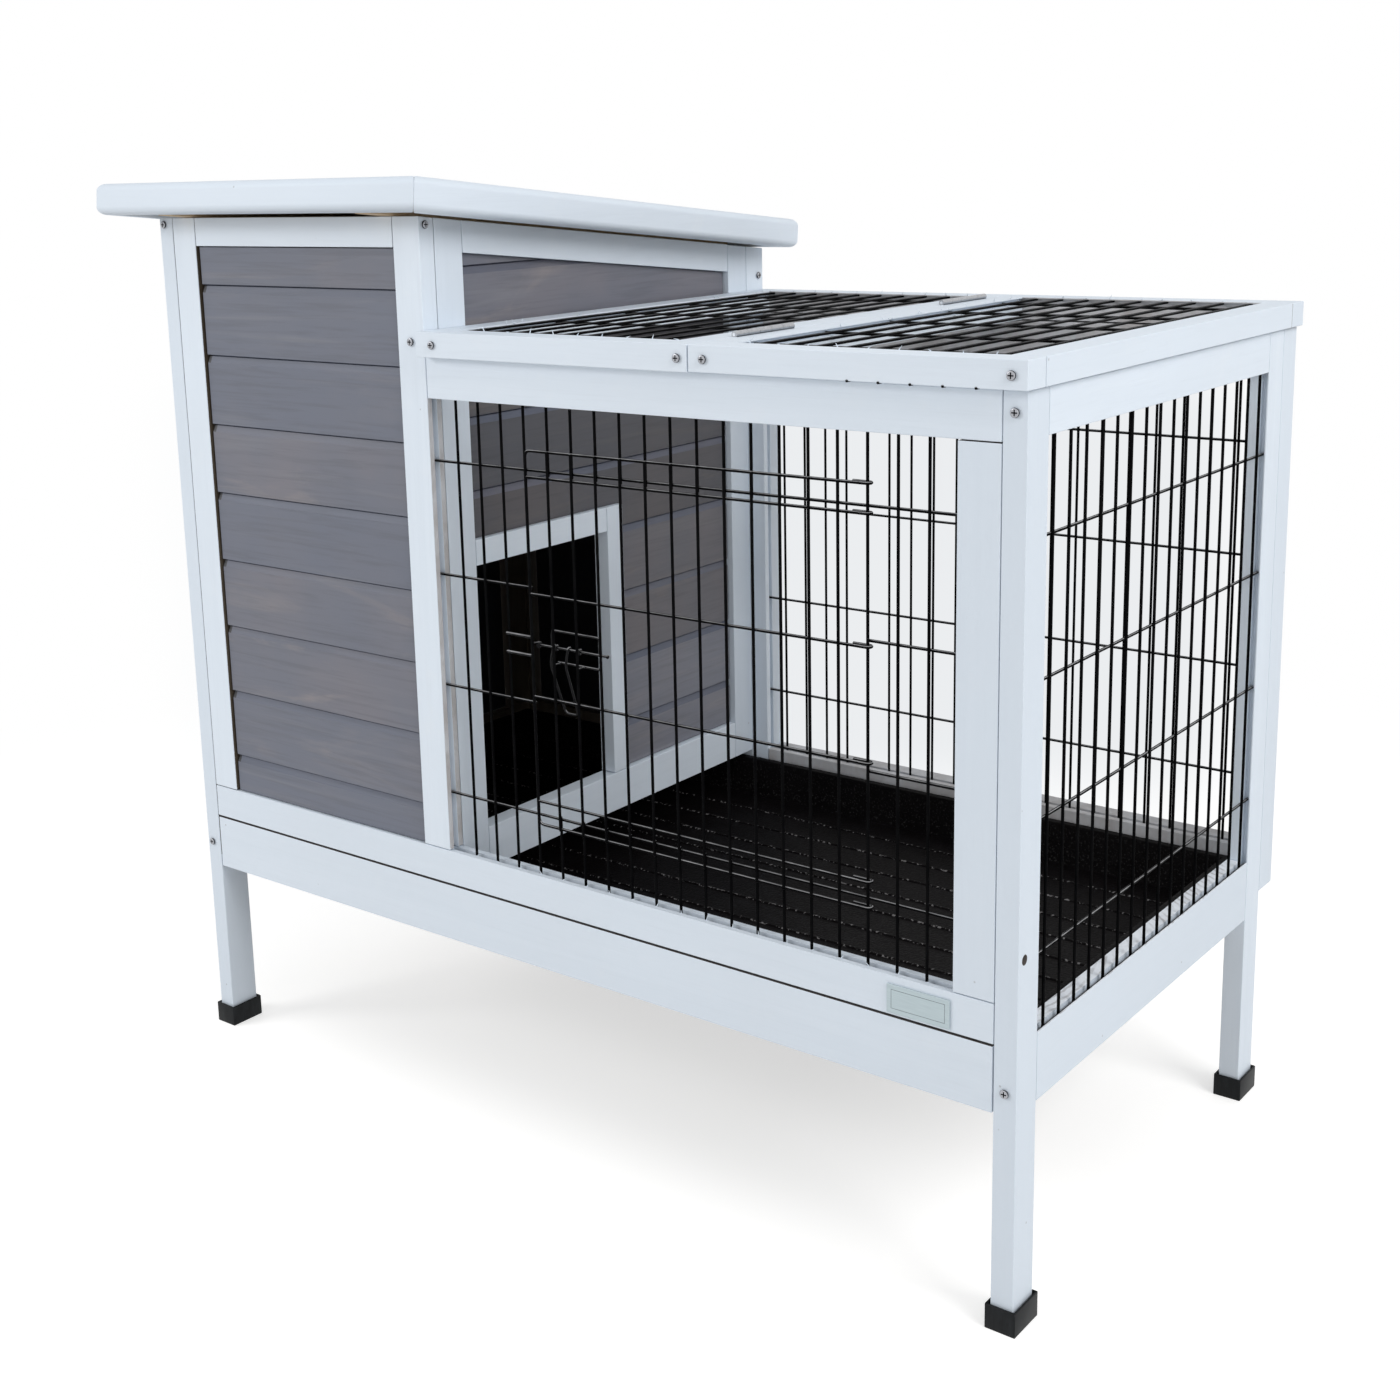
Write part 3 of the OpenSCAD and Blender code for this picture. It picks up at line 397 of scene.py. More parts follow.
def mineral_felt():
    """Roofing felt with crushed-stone granules"""
    mat, tree, shader = new_material("mineral_felt", Roughness=0.88)
    plain = object_coords(tree)
    grit = node(tree, "ShaderNodeTexVoronoi", in_Scale=520, in_Randomness=1.0)
    tree.links.new(plain, grit.inputs["Vector"])
    tint = node(tree, "ShaderNodeSeparateXYZ")
    tree.links.new(grit.outputs["Color"], tint.inputs["Vector"])
    cloud = noise(tree, plain, 14, 4, 0.6)
    stone = ramp(tree, tint.outputs["X"], [(0.1, (0.040, 0.045, 0.052)), (0.6, (0.105, 0.115, 0.130)),
                                           (0.95, (0.215, 0.230, 0.250))])
    stone = blend(tree, ramp(tree, cloud, [(0.4, (0.0,)), (0.7, (0.35,))]), stone, (0.055, 0.060, 0.068))
    tree.links.new(stone, shader.inputs["Base Color"])
    bump(tree, shader, grit.outputs["Distance"], 0.7, 0.0011)
    return mat


def silver_plate():
    mat, tree, shader = new_material("silver_plate", Metallic=0.25, Roughness=0.36)
    brushed = noise(tree, object_coords(tree, (0.05, 1, 1)), 1300, 3, 0.5)
    tree.links.new(ramp(tree, brushed, [(0.3, (0.43, 0.515, 0.545)), (0.7, (0.49, 0.575, 0.605))]),
                   shader.inputs["Base Color"])
    bump(tree, shader, brushed, 0.06, 0.0001)
    return mat


def wall_stains(along):
    """Stains of a wall's boards: their face; their cove, darker as painted shade; their inner side and the
    cove's open end, near black as painted shade
    """
    axis = "_" + along.lower()
    return (stained_boards("grey_stain" + axis, along),
            stained_boards("grey_stain_painted_shade_in_coves" + axis, along, 0.74, (0.93, 0.97, 1.06)),
            stained_boards("grey_stain_painted_shade_inside" + axis, along, 0.16),
            stained_boards("grey_stain_painted_shadow_in_hollows" + axis, along, 0.12))


wash = {axis: washed_pine(axis) for axis in "XYZ"}
pine = {axis: bare_pine(axis) for axis in "XYZ"}
arris = rubbed_arris()
painted_end = sawn_end("painted_end", (0.70, 0.765, 0.84), (0.60, 0.65, 0.71), rings_shown=False)
# A darker thin wash: painted shade on sides in shade, and the roof panel's sawn sides
raw_side = thin_wash("raw_side", (0.60, 0.605, 0.625), (0.47, 0.455, 0.455), sawn=False)
saw_marked = thin_wash("saw_marked_face", (0.80, 0.84, 0.89), (0.72, 0.75, 0.80), sawn=True)
bare_end = sawn_end("bare_end", (0.60, 0.46, 0.30), (0.34, 0.23, 0.13))
coat = black_coat("black_powder_coat")
# On the top panels the painted highlight is faint
top_coat = black_coat("black_powder_coat_on_top", 0.22)
# On the latch the coat is painted twice as pale and shines a little more, as painted light, so that it shows
latch_coat = black_coat("black_powder_coat_on_latch", 0.70, 0.10, 2.0)
plastic = tray_plastic()
rib_plastic = tray_plastic("polished_tray_ribs", 0.28)
cap_black = cap_plastic()
zinc = zinc_plate()
screw_steel = zinc_plate("screw_steel", (0.40, 0.41, 0.44))
# Near-black steel, painted shade for screw recesses and head rims
screw_painted_shade = zinc_plate("screw_recess_painted_shade", (0.020, 0.021, 0.024))
hinge_zinc = zinc_plate("hinge_zinc", (0.46, 0.47, 0.49))
felt = mineral_felt()
stains_along = {axis: wall_stains(axis) for axis in "XY"}
# Near-black pine for the house's inside, as painted shade
house_inside_painted_shade = bare_pine("Z", "dark_inside_timber", 0.12)
# Near-black grime, partly painted shade, for seams and a screw hole
grime_and_painted_shade = sawn_end("grime_and_painted_shade_in_joints", (0.060, 0.050, 0.045), (0.026, 0.022, 0.020), rings_shown=False)
silver = silver_plate()
border_grey = zinc_plate("border_line", (0.20, 0.23, 0.25))


# ---------------------------------------------------------------- ways of working

def deselect():
    if bpy.context.mode != "OBJECT":
        bpy.ops.object.mode_set(mode="OBJECT")
    bpy.ops.object.select_all(action="DESELECT")


def activate(piece):
    deselect()
    piece.select_set(True)
    bpy.context.view_layer.objects.active = piece


def apply_modifier(piece, kind, **settings):
    activate(piece)
    made = piece.modifiers.new(kind.title(), kind)
    for key, value in settings.items():
        setattr(made, key, value)
    bpy.ops.object.modifier_apply(modifier=made.name)


def place_in_mesh(piece):
    activate(piece)
    bpy.ops.object.transform_apply(location=True, rotation=True, scale=True)


def block(name, low, high):
    """A block between two corners, to be worked on"""
    low, high = Vector(low), Vector(high)
    deselect()
    bpy.ops.mesh.primitive_cube_add(size=1, location=(low + high) / 2)
    piece = bpy.context.object
    piece.name = name
    piece.scale = high - low
    place_in_mesh(piece)
    return piece


def split_at(piece, place, facing, **settings):
    """Cuts a piece's faces along a plane"""
    activate(piece)
    bpy.ops.object.mode_set(mode="EDIT")
    bpy.ops.mesh.select_all(action="SELECT")
    bpy.ops.mesh.bisect(plane_co=place, plane_no=facing, **settings)
    bpy.ops.object.mode_set(mode="OBJECT")


def tidy_faces(piece):
    """Merges doubles and turns every face outwards"""
    activate(piece)
    bpy.ops.object.mode_set(mode="EDIT")
    bpy.ops.mesh.select_all(action="SELECT")
    bpy.ops.mesh.remove_doubles(threshold=1e-6)
    bpy.ops.mesh.normals_make_consistent(inside=False)
    bpy.ops.object.mode_set(mode="OBJECT")


def smooth(piece, degrees):
    activate(piece)
    bpy.ops.object.shade_smooth_by_angle(angle=math.radians(degrees))


def join(pieces, name):
    deselect()
    for piece in pieces:
        piece.select_set(True)
    bpy.context.view_layer.objects.active = pieces[0]
    if len(pieces) > 1:
        bpy.ops.object.join()
    pieces[0].name = name
    pieces[0].data.name = name
    return pieces[0]


def finish_solid(node_name, mat):
    """Gives a solid that stays as it is its finish"""
    materials = frame["nodes"][node_name].data.materials
    materials.clear()
    materials.append(mat)


def finish_piece(piece, body, slot, *materials):
    if materials:
        piece.data.materials.clear()
        for mat in materials:
            piece.data.materials.append(mat)
    place_in_mesh(piece)
    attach(piece, body)
    return piece


def set_tone(piece, tone):
    attribute = piece.data.attributes.get("tone") or piece.data.attributes.new("tone", "FLOAT", "POINT")
    attribute.data.foreach_set("value", [tone] * len(piece.data.vertices))


def change_faces(piece, mat, wanted):
    """Gives another material to the faces that wanted picks"""
    piece.data.materials.append(mat)
    for face in piece.data.polygons:
        if wanted(face):
            face.material_index = len(piece.data.materials) - 1


def dressed(node_name=""):
    """The dressed lengths of a node, or of all nodes"""
    return [o for o in bpy.data.objects if o.name.startswith(node_name) and o.name.endswith("_dressed")]


def corners(piece):
    xyz = list(zip(*(v.co for v in piece.data.vertices)))
    return Vector(map(min, xyz)), Vector(map(max, xyz))


front_face_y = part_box("post_front_left")[0].y
bottom_rail_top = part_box("bottom_rail_front")[1].z
body_of_node = {n: b for b, ns in frame["record"]["behaviour"]["bodies"].items() for n in ns}


def worked_copy(node_name):
    """A merged copy of a node's solid, as one or more loose lengths to work on"""
    source = frame["nodes"][node_name]
    activate(source)
    bpy.ops.object.duplicate()
    piece = bpy.context.object
    piece.parent = None
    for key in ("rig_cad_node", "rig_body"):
        if key in piece:
            del piece[key]
    piece.name = node_name + "_worked"
    bpy.ops.object.mode_set(mode="EDIT")
    bpy.ops.mesh.select_all(action="SELECT")
    bpy.ops.mesh.customdata_custom_splitnormals_clear()
    bpy.ops.mesh.remove_doubles(threshold=2e-6)
    bpy.ops.mesh.dissolve_limited(angle_limit=math.radians(0.6))
    bpy.ops.mesh.faces_shade_flat()
    bpy.ops.mesh.separate(type="LOOSE")
    bpy.ops.object.mode_set(mode="OBJECT")
    return sorted(bpy.context.selected_objects, key=lambda o: tuple(round(c, 4) for c in corners(o)[0]))


def draw_in(piece, gap):
    """Brings every side of a length in by half a joint's gap"""
    low, high = corners(piece)
    middle, size = (low + high) / 2, high - low
    activate(piece)
    bpy.ops.object.mode_set(mode="EDIT")
    bpy.ops.mesh.select_all(action="SELECT")
    bpy.ops.transform.resize(value=[(s - gap) / s for s in size], center_override=middle)
    bpy.ops.object.mode_set(mode="OBJECT")


def mark_arrises(piece):
    """Marks the outer arrises of a length to be eased, and leaves the lips of its grooves sharp"""
    shape = bmesh.new()
    shape.from_mesh(piece.data)
    weight = shape.edges.layers.float.new("bevel_weight_edge")

    def groove_wall(face):
        spans = sorted(max(v.co[a] for v in face.verts) - min(v.co[a] for v in face.verts) for a in range(3))
        return spans[1] < 7 * MM and any(not e.is_convex and e.calc_face_angle(0) > 0.5 for e in face.edges)

    for edge in shape.edges:
        outer = edge.is_convex and edge.calc_face_angle(0) > 0.66
        if outer and not any(groove_wall(face) for face in edge.link_faces):
            edge[weight] = 1.0
    shape.to_mesh(piece.data)
    shape.free()


# How dark each length in front is painted, from 0 to 1, as painted shade
front_painted_shade = {"house_front_stile_left": 0.1, "house_front_stile_right": 0.0, "run_front_top_rail": 0.15,
              "bottom_rail_front": 0.5, "tray_front": 0.5, "run_front_stile": 0.85, "post_front_right": 1.0,
              "post_front_left": 0.9, "side_rail_right_bottom": 1.0, "side_rail_right_top": 0.0,
              "divider_bottom_rail": 0.0, "doorway_jamb": 0.0, "doorway_header": 0.0}


def timber(node_name, faces=wash, ends=painted_end, edge=arris):
    """Dresses a node's lengths of timber: arrises eased, grain along each, cut ends of their own"""
    eased = 0.6 * MM
    joint_gap = 0.8 * MM
    made = []
    for i, piece in enumerate(worked_copy(node_name)):
        low, high = corners(piece)
        size = high - low
        axis = max(range(3), key=lambda a: size[a])
        draw_in(piece, joint_gap)
        low, high = corners(piece)
        mark_arrises(piece)
        apply_modifier(piece, "BEVEL", width=eased, segments=2, limit_method="WEIGHT",
                       edge_weight="bevel_weight_edge", material=1, use_clamp_overlap=True)
        piece.data.materials.clear()
        for mat in (faces["XYZ"[axis]], edge, ends):
            piece.data.materials.append(mat)
        for face in piece.data.polygons:
            at_end = min(abs(face.center[axis] - low[axis]), abs(face.center[axis] - high[axis])) < 1e-4
            if abs(face.normal[axis]) > 0.95 and at_end and face.material_index == 0:
                face.material_index = 2
        own_tone = rng.random()
        set_tone(piece, front_painted_shade.get(node_name, own_tone))
        piece.name = f"{node_name}_{i + 1}_dressed"
        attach(piece, body_of_node[node_name])
        made.append(piece)
    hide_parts(node_name)
    return made


def shiplap_board(name, length, height, stains, coved=True):
    """One board along +X with its face to -Y, bottom edge on z = 0: a cove along the top of
    the face, open at its left end, and a tongue rising behind the next board.
    stains are its face, its cove and bottom edge (darker, as painted shade), and its inner side and the
    cove's open end (near black, as painted shade)"""
    thick = 8 * MM
    cove_end = 4.2 * MM
    tongue_y = 4.8 * MM
    cove_deep = 1.5 * MM
    cove_deepest = 2.7 * MM
    board = block(name, (0, 0, 0), (length, thick, height))
    for cut in (height - 6.5 * MM, height - 3.0 * MM):
        split_at(board, (0, 0, cut), (0, 0, 1))
    split_at(board, (0, tongue_y, 0), (0, 1, 0))
    split_at(board, (cove_end, 0, 0), (1, 0, 0))
    bpy.ops.object.mode_set(mode="EDIT")
    shape = bmesh.from_edit_mesh(board.data)
    for v in shape.verts:
        if coved and v.co.y < 1e-5 and v.co.z > height - 3.1 * MM:
            v.co.y = cove_deepest if v.co.z > height - 1e-5 else cove_deep
    shape.faces.ensure_lookup_table()
    for face in shape.faces:
        centre = face.calc_center_median()
        face.select = centre.z > height - 1e-5 and centre.y > tongue_y
    bmesh.update_edit_mesh(board.data)
    bpy.ops.mesh.extrude_region_move(TRANSFORM_OT_translate={"value": (0, 0, 2.6 * MM)})
    bpy.ops.object.mode_set(mode="OBJECT")
    apply_modifier(board, "BEVEL", width=0.45 * MM, segments=1, limit_method="ANGLE",
                   angle_limit=math.radians(50), use_clamp_overlap=True)
    for stain in stains:
        board.data.materials.append(stain)
    # Painted shade: the cove and the underside take a darker stain, the back a near-black one, the cove's
    # open end the darkest
    for face in board.data.polygons:
        in_cove = coved and face.center.z > height - 6.4 * MM and face.center.y < tongue_y
        if in_cove or face.center.z < 0.6 * MM:
            face.material_index = 3 if in_cove and face.center.x < cove_end else 1
        if face.normal.y > 0.9 and face.center.y > 7 * MM:
            face.material_index = 2
    return board


def board_wall(node_name, turn, tones, first_groove, opening=None, slope_drop=None):
    """Boards from the lowest to the highest, trimmed to the node's own box, roof line and opening.
    turn is 0 for a wall that faces the front, and a quarter turn more for each next side"""
    low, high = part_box(node_name)
    along = turn % 2
    stains = stains_along["XY"[along]]
    end_gap = 1.7 * MM
    length = high[along] - low[along] - 2 * end_gap
    start = ((low.x + end_gap, low.y), (high.x, low.y + end_gap),
             (high.x - end_gap, high.y), (low.x, high.y - end_gap))[turn]
    boards = []
    for k in range(-1, 11):
        upper = min(first_groove - board_pitch * (k - 1), high.z)
        lower = max(first_groove - board_pitch * k, low.z)
        if upper - lower < 8 * MM:
            continue
        tone = tones[len(boards) % len(tones)]
        board = shiplap_board(f"{node_name}_{k}", length, upper - lower - 0.9 * MM, stains, upper < high.z)
        board.rotation_euler.z = turn * math.pi / 2
        board.location = (*start, lower + 0.5 * MM)
        place_in_mesh(board)
        if slope_drop is not None:
            split_at(board, (0, front_face_y, roof_height - slope_drop),
                     (0, math.sin(roof_slope), math.cos(roof_slope)), use_fill=True, clear_outer=True)
        if opening:
            cut_block(board, *opening)
        set_tone(board, tone)
        boards.append(board)
    wall = join(boards, node_name + "_dressed")
    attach(wall, body_of_node[node_name])
    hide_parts(node_name)
    return wall


def cut_block(piece, block_low, block_high):
    """Takes a block's room out of a piece, where they meet"""
    low, high = corners(piece)
    if any(low[a] >= block_high[a] or high[a] <= block_low[a] for a in range(3)):
        return
    cutter = block("cutter", block_low, block_high)
    apply_modifier(piece, "BOOLEAN", operation="DIFFERENCE", object=cutter, solver="EXACT")
    bpy.data.objects.remove(cutter)


def rod(start, end, radius, sides=12):
    """A straight length of round wire with eased ends"""
    start, end = Vector(start), Vector(end)
    deselect()
    bpy.ops.mesh.primitive_cylinder_add(vertices=sides, radius=radius, depth=(end - start).length,
                                        location=(start + end) / 2)
    piece = bpy.context.object
    piece.rotation_mode = "QUATERNION"
    piece.rotation_quaternion = (end - start).to_track_quat("Z", "Y")
    bpy.ops.object.transform_apply(location=True, rotation=True, scale=True)
    bpy.ops.object.mode_set(mode="EDIT")
    bpy.ops.mesh.select_all(action="DESELECT")
    bpy.ops.object.mode_set(mode="OBJECT")
    for face in piece.data.polygons:
        if len(face.vertices) == sides:
            face.select = True
    bpy.ops.object.mode_set(mode="EDIT")
    bpy.ops.mesh.bevel(offset=radius * 0.35, segments=1)
    bpy.ops.object.mode_set(mode="OBJECT")
    return piece


def bent_wire(points, radius, bend):
    """Round wire along straight runs, with its corners bent to a radius"""
    points = [Vector(p) for p in points]
    path = [points[0]]
    for before, corner, after in zip(points, points[1:], points[2:]):
        back, ahead = (before - corner).normalized(), (after - corner).normalized()
        reach = min(bend, (before - corner).length / 2, (after - corner).length / 2)
        for step in range(7):
            t = step / 6
            path.append(corner + back * reach * (1 - t) ** 2 + ahead * reach * t ** 2)
    path.append(points[-1])
    curve = bpy.data.curves.new("bent_wire", "CURVE")
    curve.dimensions = "3D"
    run = curve.splines.new("POLY")
    run.points.add(len(path) - 1)
    for point, place in zip(run.points, path):
        point.co = (*place, 1)
    curve.bevel_depth = radius
    curve.bevel_resolution = 3
    curve.use_fill_caps = True
    wire = bpy.data.objects.new("bent_wire", curve)
    bpy.context.scene.collection.objects.link(wire)
    activate(wire)
    bpy.ops.object.convert(target="MESH")
    wire = bpy.context.object
    tidy_faces(wire)
    return wire


# ---------------------------------------------------------------- frame timber

for name in ("post_front_left", "post_rear_left", "post_front_right", "post_rear_right",
             "bottom_rail_front", "side_rail_left_bottom", "side_rail_left_top",
             "side_rail_right_bottom", "side_rail_right_top", "house_front_stile_left",
             "house_front_stile_right", "house_front_top_rail", "divider_stile_front",
             "divider_stile_rear", "divider_top_rail", "divider_bottom_rail", "doorway_header",
             "doorway_jamb", "run_front_top_rail", "run_front_stile", "house_back_rails",
             "run_back_rails", "top_fixed_rails", "lid_rails", "tray_front"):
    timber(name)
for name in ("house_back_stiles", "run_back_stiles"):
    timber(name, ends=bare_end)
for name in ("roof_panel", "roof_battens", "tray_runners"):
    timber(name, faces=pine, ends=bare_end, edge=pine["X"])

# The roof is sawn at its sides, and bare pine where it is seen from below
for name, mat in (("roof_panel", pine["X"]), ("roof_battens", pine["Y"])):
    for piece in dressed(name):
        piece.data.materials[0] = raw_side
        piece.data.materials[1] = raw_side
        change_faces(piece, mat, lambda f: f.normal.z < -0.5 or name == "roof_battens")

# Sides in shade, painted darker as painted shade over a thin wash, and the saw's arcs on top of the right
# end's rail
stile = bpy.data.objects["house_front_stile_right_1_dressed"]
run_rail_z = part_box("run_front_top_rail")[0].z
split_at(stile, (0, 0, run_rail_z), (0, 0, 1))
change_faces(stile, raw_side, lambda f: f.normal.x > 0.9 and f.center.z < run_rail_z)
change_faces(bpy.data.objects["side_rail_right_bottom_1_dressed"], saw_marked, lambda f: f.normal.z > 0.9)
for piece_name in ("run_back_rails_1_dressed", "run_back_rails_2_dressed"):
    change_faces(bpy.data.objects[piece_name], raw_side, lambda f: f.normal.z > 0.9 or f.normal.y < -0.9)
for node_name in ("lid_rails", "top_fixed_rails"):
    rear = max(dressed(node_name), key=lambda o: corners(o)[0].y)
    change_faces(rear, raw_side, lambda f: f.normal.y < -0.9 or f.normal.z < -0.9)


# Inside the house the timber is painted near black, as painted shade; the room's lowest and highest corners,
# and the depth of a wall
house_room = (Vector((-0.425, -0.227, 0.185)), Vector((-0.105, 0.256, 0.80)))
wall_depth = 20 * MM


def faces_the_room(face):
    place = face.center + face.normal * 3 * MM
    if face.normal.z > 0.5 and place.z > 0.6:
        return False
    return all(house_room[0][a] < place[a] < house_room[1][a] for a in range(3))


for piece in dressed():
    low, high = corners(piece)
    moves = piece.name.startswith(("tray_", "roof_"))
    if moves or low.x >= house_room[1].x or high.x <= house_room[0].x - wall_depth:
        continue
    if low.z < house_room[0].z < high.z:
        split_at(piece, house_room[0], (0, 0, 1))
    if any(faces_the_room(face) for face in piece.data.polygons):
        change_faces(piece, house_inside_painted_shade, faces_the_room)

# Near-black grime in the seam over the right stile and along the lip of the tray's front, partly painted
# shade
lip_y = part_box("tray_front")[0].y + 4 * MM
for name, reach_y in (("run_front_stile", math.inf), ("tray_front", lip_y)):
    rail = bpy.data.objects[name + "_1_dressed"]
    split_at(rail, (0, lip_y, 0), (0, 1, 0))
    seat_z = corners(rail)[1].z
    change_faces(rail, grime_and_painted_shade, lambda f: abs(f.center.z - seat_z) < 0.45 * MM and f.normal.z > 0.5
                 and f.center.y < reach_y)

# The empty screw hole in the front right post, its inside painted dark as painted shade
post = bpy.data.objects["post_front_right_1_dressed"]
post_low, post_high = corners(post)
hole_z = bottom_rail_top + 35 * MM
change_faces(post, grime_and_painted_shade, lambda f: post_low.x + 4 * MM < f.center.x < post_high.x - 0.2 * MM
             and f.normal.x > -0.9 and f.area < 3e-6 and abs(f.center.z - hole_z) < 5 * MM)

# The tray's wooden front rises close under the bottom rail
apron = bpy.data.objects["tray_front_1_dressed"]
apron_top = corners(apron)[1].z
for v in apron.data.vertices:
    if v.co.z > apron_top - 3 * MM:
        v.co.z += 2.0 * MM

# ---------------------------------------------------------------- boards

first_side_groove = roof_height - side_drop
board_wall("house_front_boards", 0, (0.40, 0.10, 0.0, 0.80, 0.10, 0.75, 0.95, 0.50, 0.10),
           roof_height - front_drop)
board_wall("house_left_boards", 3, (0.2, 0.9, 0.1, 0.7, 0.4, 0.0, 0.8, 0.15, 0.6),
           first_side_groove, slope_drop=rail_drop)
# The divider, with the doorway cut from it
header_low, header_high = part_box("doorway_header")
jamb_low, jamb_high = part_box("doorway_jamb")
divider_low, divider_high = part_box("divider_boards")
divider = board_wall("divider_boards", 1, (0.5, 0.9, 0.75, 0.35, 0.85, 0.6, 0.9, 0.1, 0.15),
                     first_side_groove, slope_drop=rail_drop,
                     opening=((divider_low.x - 0.01, header_low.y - 0.01, jamb_low.z - 0.01),
                              (divider_high.x + 0.01, jamb_high.y, header_high.z)))

# On the run's side its stain is painted darker towards the top and lighter near the floor, as painted shade
# and light: its brightness, and between which heights
for brightness, lowest, highest in ((0.50, 0.50, 0.70), (0.84, 0.40, 0.50), (1.30, 0.0, 0.40)):
    stain = stained_boards(f"grey_stain_painted_shade_in_the_run_{round(brightness * 100)}", "Y", brightness,
                           (1.03, 0.98, 0.92))
    change_faces(divider, stain,
                 lambda f: f.material_index == 0 and lowest < f.center.z < highest and f.normal.x > 0.3)

board_wall("house_back_boards", 2, (0.3, 0.0, 0.85, 0.2, 0.6, 0.1, 0.75, 0.4), first_side_groove)

# ---------------------------------------------------------------- roof

for piece in timber("roof_edging"):
    smooth(piece, 30)
    low, high = corners(piece)
    # The front edging is painted darkest and the others lightest, as painted shade and light
    set_tone(piece, 1.0 if high.y < front_face_y + 20 * MM else 0.0)
finish_solid("roof_felt", felt)

# ---------------------------------------------------------------- wire panels

def wire_panel(node_name, wires, finish=coat):
    """A welded panel of round wires, each given by its two ends"""
    panel = join([rod(start, end, wire_dia / 2) for start, end in wires], node_name + "_round_wires")
    smooth(panel, 50)
    finish_piece(panel, body_of_node[node_name], "black_wire", finish)
    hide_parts(node_name)


def spread(low, high, step, margin):
    """Places at a step, centred between two ends with a margin kept"""
    count = math.floor((high - low - margin) / step + 1e-6)
    first = (low + high) / 2 - count * step / 2
    return [first + i * step for i in range(count + 1)]


# Half a wire's thickness, and how far a cut upright stands past its last cross wire
half = wire_dia / 2
cut_stub = 3.6 * MM

# Front panel, with the way for the door left open between its fourth and seventeenth uprights
low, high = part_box("run_front_mesh")
front_wire_y = low.y + half
uprights = [low.x + groove_depth + 25.4 * MM + i * wire_pitch for i in range(19)]
rows = [low.z + groove_depth + 52 * MM + i * wide_pitch for i in range(4)]
latch_upright, hinge_upright = 3, 16
wires = []
for i, x in enumerate(uprights):
    if latch_upright < i < hinge_upright:
        wires.append(((x, front_wire_y, low.z), (x, front_wire_y, rows[0] + cut_stub)))
        wires.append(((x, front_wire_y, rows[3] - cut_stub), (x, front_wire_y, high.z)))
    else:
        wires.append(((x, front_wire_y, low.z), (x, front_wire_y, high.z)))
behind = front_wire_y + wire_lay
for z in (low.z + half, rows[0], rows[3], high.z - half):
    wires.append(((low.x, behind, z), (high.x, behind, z)))
for z in rows[1:3]:
    wires.append(((low.x, behind, z), (uprights[latch_upright] + 1 * MM, behind, z)))
    wires.append(((uprights[hinge_upright] - 1 * MM, behind, z), (high.x, behind, z)))
wire_panel("run_front_mesh", wires)

# End panel
low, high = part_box("run_side_mesh")
x = high.x - half
wires = [((x, y, low.z), (x, y, high.z))
         for y in spread(low.y + groove_depth, high.y - groove_depth, 25.4 * MM, 8 * MM)]
side_rows = [low.z + 63 * MM + i * 103 * MM for i in range(4)]
for z in [low.z + half] + side_rows + [high.z - half]:
    wires.append(((x - wire_lay, low.y, z), (x - wire_lay, high.y, z)))
wire_panel("run_side_mesh", wires)

# Back panel
low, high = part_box("run_back_mesh")
y = low.y + half
wires = [((x, y, low.z), (x, y, high.z)) for x in spread(low.x, high.x, wire_pitch, 30 * MM)]
back_rows = [low.z + groove_depth + 64 * MM + i * 101.4 * MM for i in range(4)]
for z in [low.z + half] + back_rows + [high.z - half]:
    wires.append(((low.x, y + wire_lay, z), (high.x, y + wire_lay, z)))
wire_panel("run_back_mesh", wires)

# Fixed top and lid panels
for name in ("top_fixed_mesh", "lid_mesh"):
    low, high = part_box(name)
    z = high.z - half
    wires = [((x, low.y, z), (x, high.y, z)) for x in spread(low.x, high.x, wire_pitch, 12 * MM)]
    wires += [((low.x, y, z - wire_lay), (high.x, y, z - wire_lay))
              for y in spread(low.y, high.y, wide_pitch, 30 * MM)]
    wire_panel(name, wires, top_coat)

# Door: uprights before its cross wires, and a rim bent from one wire
low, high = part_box("wire_door")
door_upright_y = low.y + half
door_cross_y = high.y - half
door_uprights = [uprights[latch_upright] + 2.9 * MM]
door_uprights += [uprights[i] + 3 * MM for i in range(latch_upright + 1, hinge_upright)]
door_rows = [rows[0] - 6.5 * MM, rows[0] + 14 * MM, rows[1] + 7 * MM, rows[2] - 4 * MM,
             rows[3] - 5 * MM, rows[3] + 17 * MM]
wires = [((x, door_upright_y, low.z), (x, door_upright_y, high.z)) for x in door_uprights[1:]]
wires += [((door_uprights[0] - half, door_cross_y, z), (high.x, door_cross_y, z)) for z in door_rows[1:-1]]
door_wires = [rod(start, end, half) for start, end in wires]
rim = [(x, door_cross_y, z) for x, z in ((high.x, door_rows[-1]), (door_uprights[0], door_rows[-1]),
                                         (door_uprights[0], door_rows[0]), (high.x, door_rows[0]))]
door_wires.append(bent_wire(rim, half, 6 * MM))
door = join(door_wires, "wire_door_round_wires")
smooth(door, 50)
finish_piece(door, "wire_door", "black_wire", coat)
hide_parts("wire_door")

# Each cross wire of the door turns back round the upright that it hangs on
pivot_x = uprights[hinge_upright]
turn_r = front_wire_y - door_cross_y
half_turn = [math.pi * k / 12 for k in range(13)]
hooks = []
for z in door_rows:
    arc = [(pivot_x + turn_r * math.sin(a), front_wire_y - turn_r * math.cos(a), z) for a in half_turn]
    hooks.append(bent_wire([(high.x - 1 * MM, door_cross_y, z), *arc,
                            (pivot_x - 14 * MM, front_wire_y + turn_r, z)], half, 0.2 * MM))
hooks = join(hooks, "door_hooks")
smooth(hooks, 50)
finish_piece(hooks, "wire_door", "black_wire", coat)
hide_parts("door_loops")

# ---------------------------------------------------------------- torn fibres and wire tips

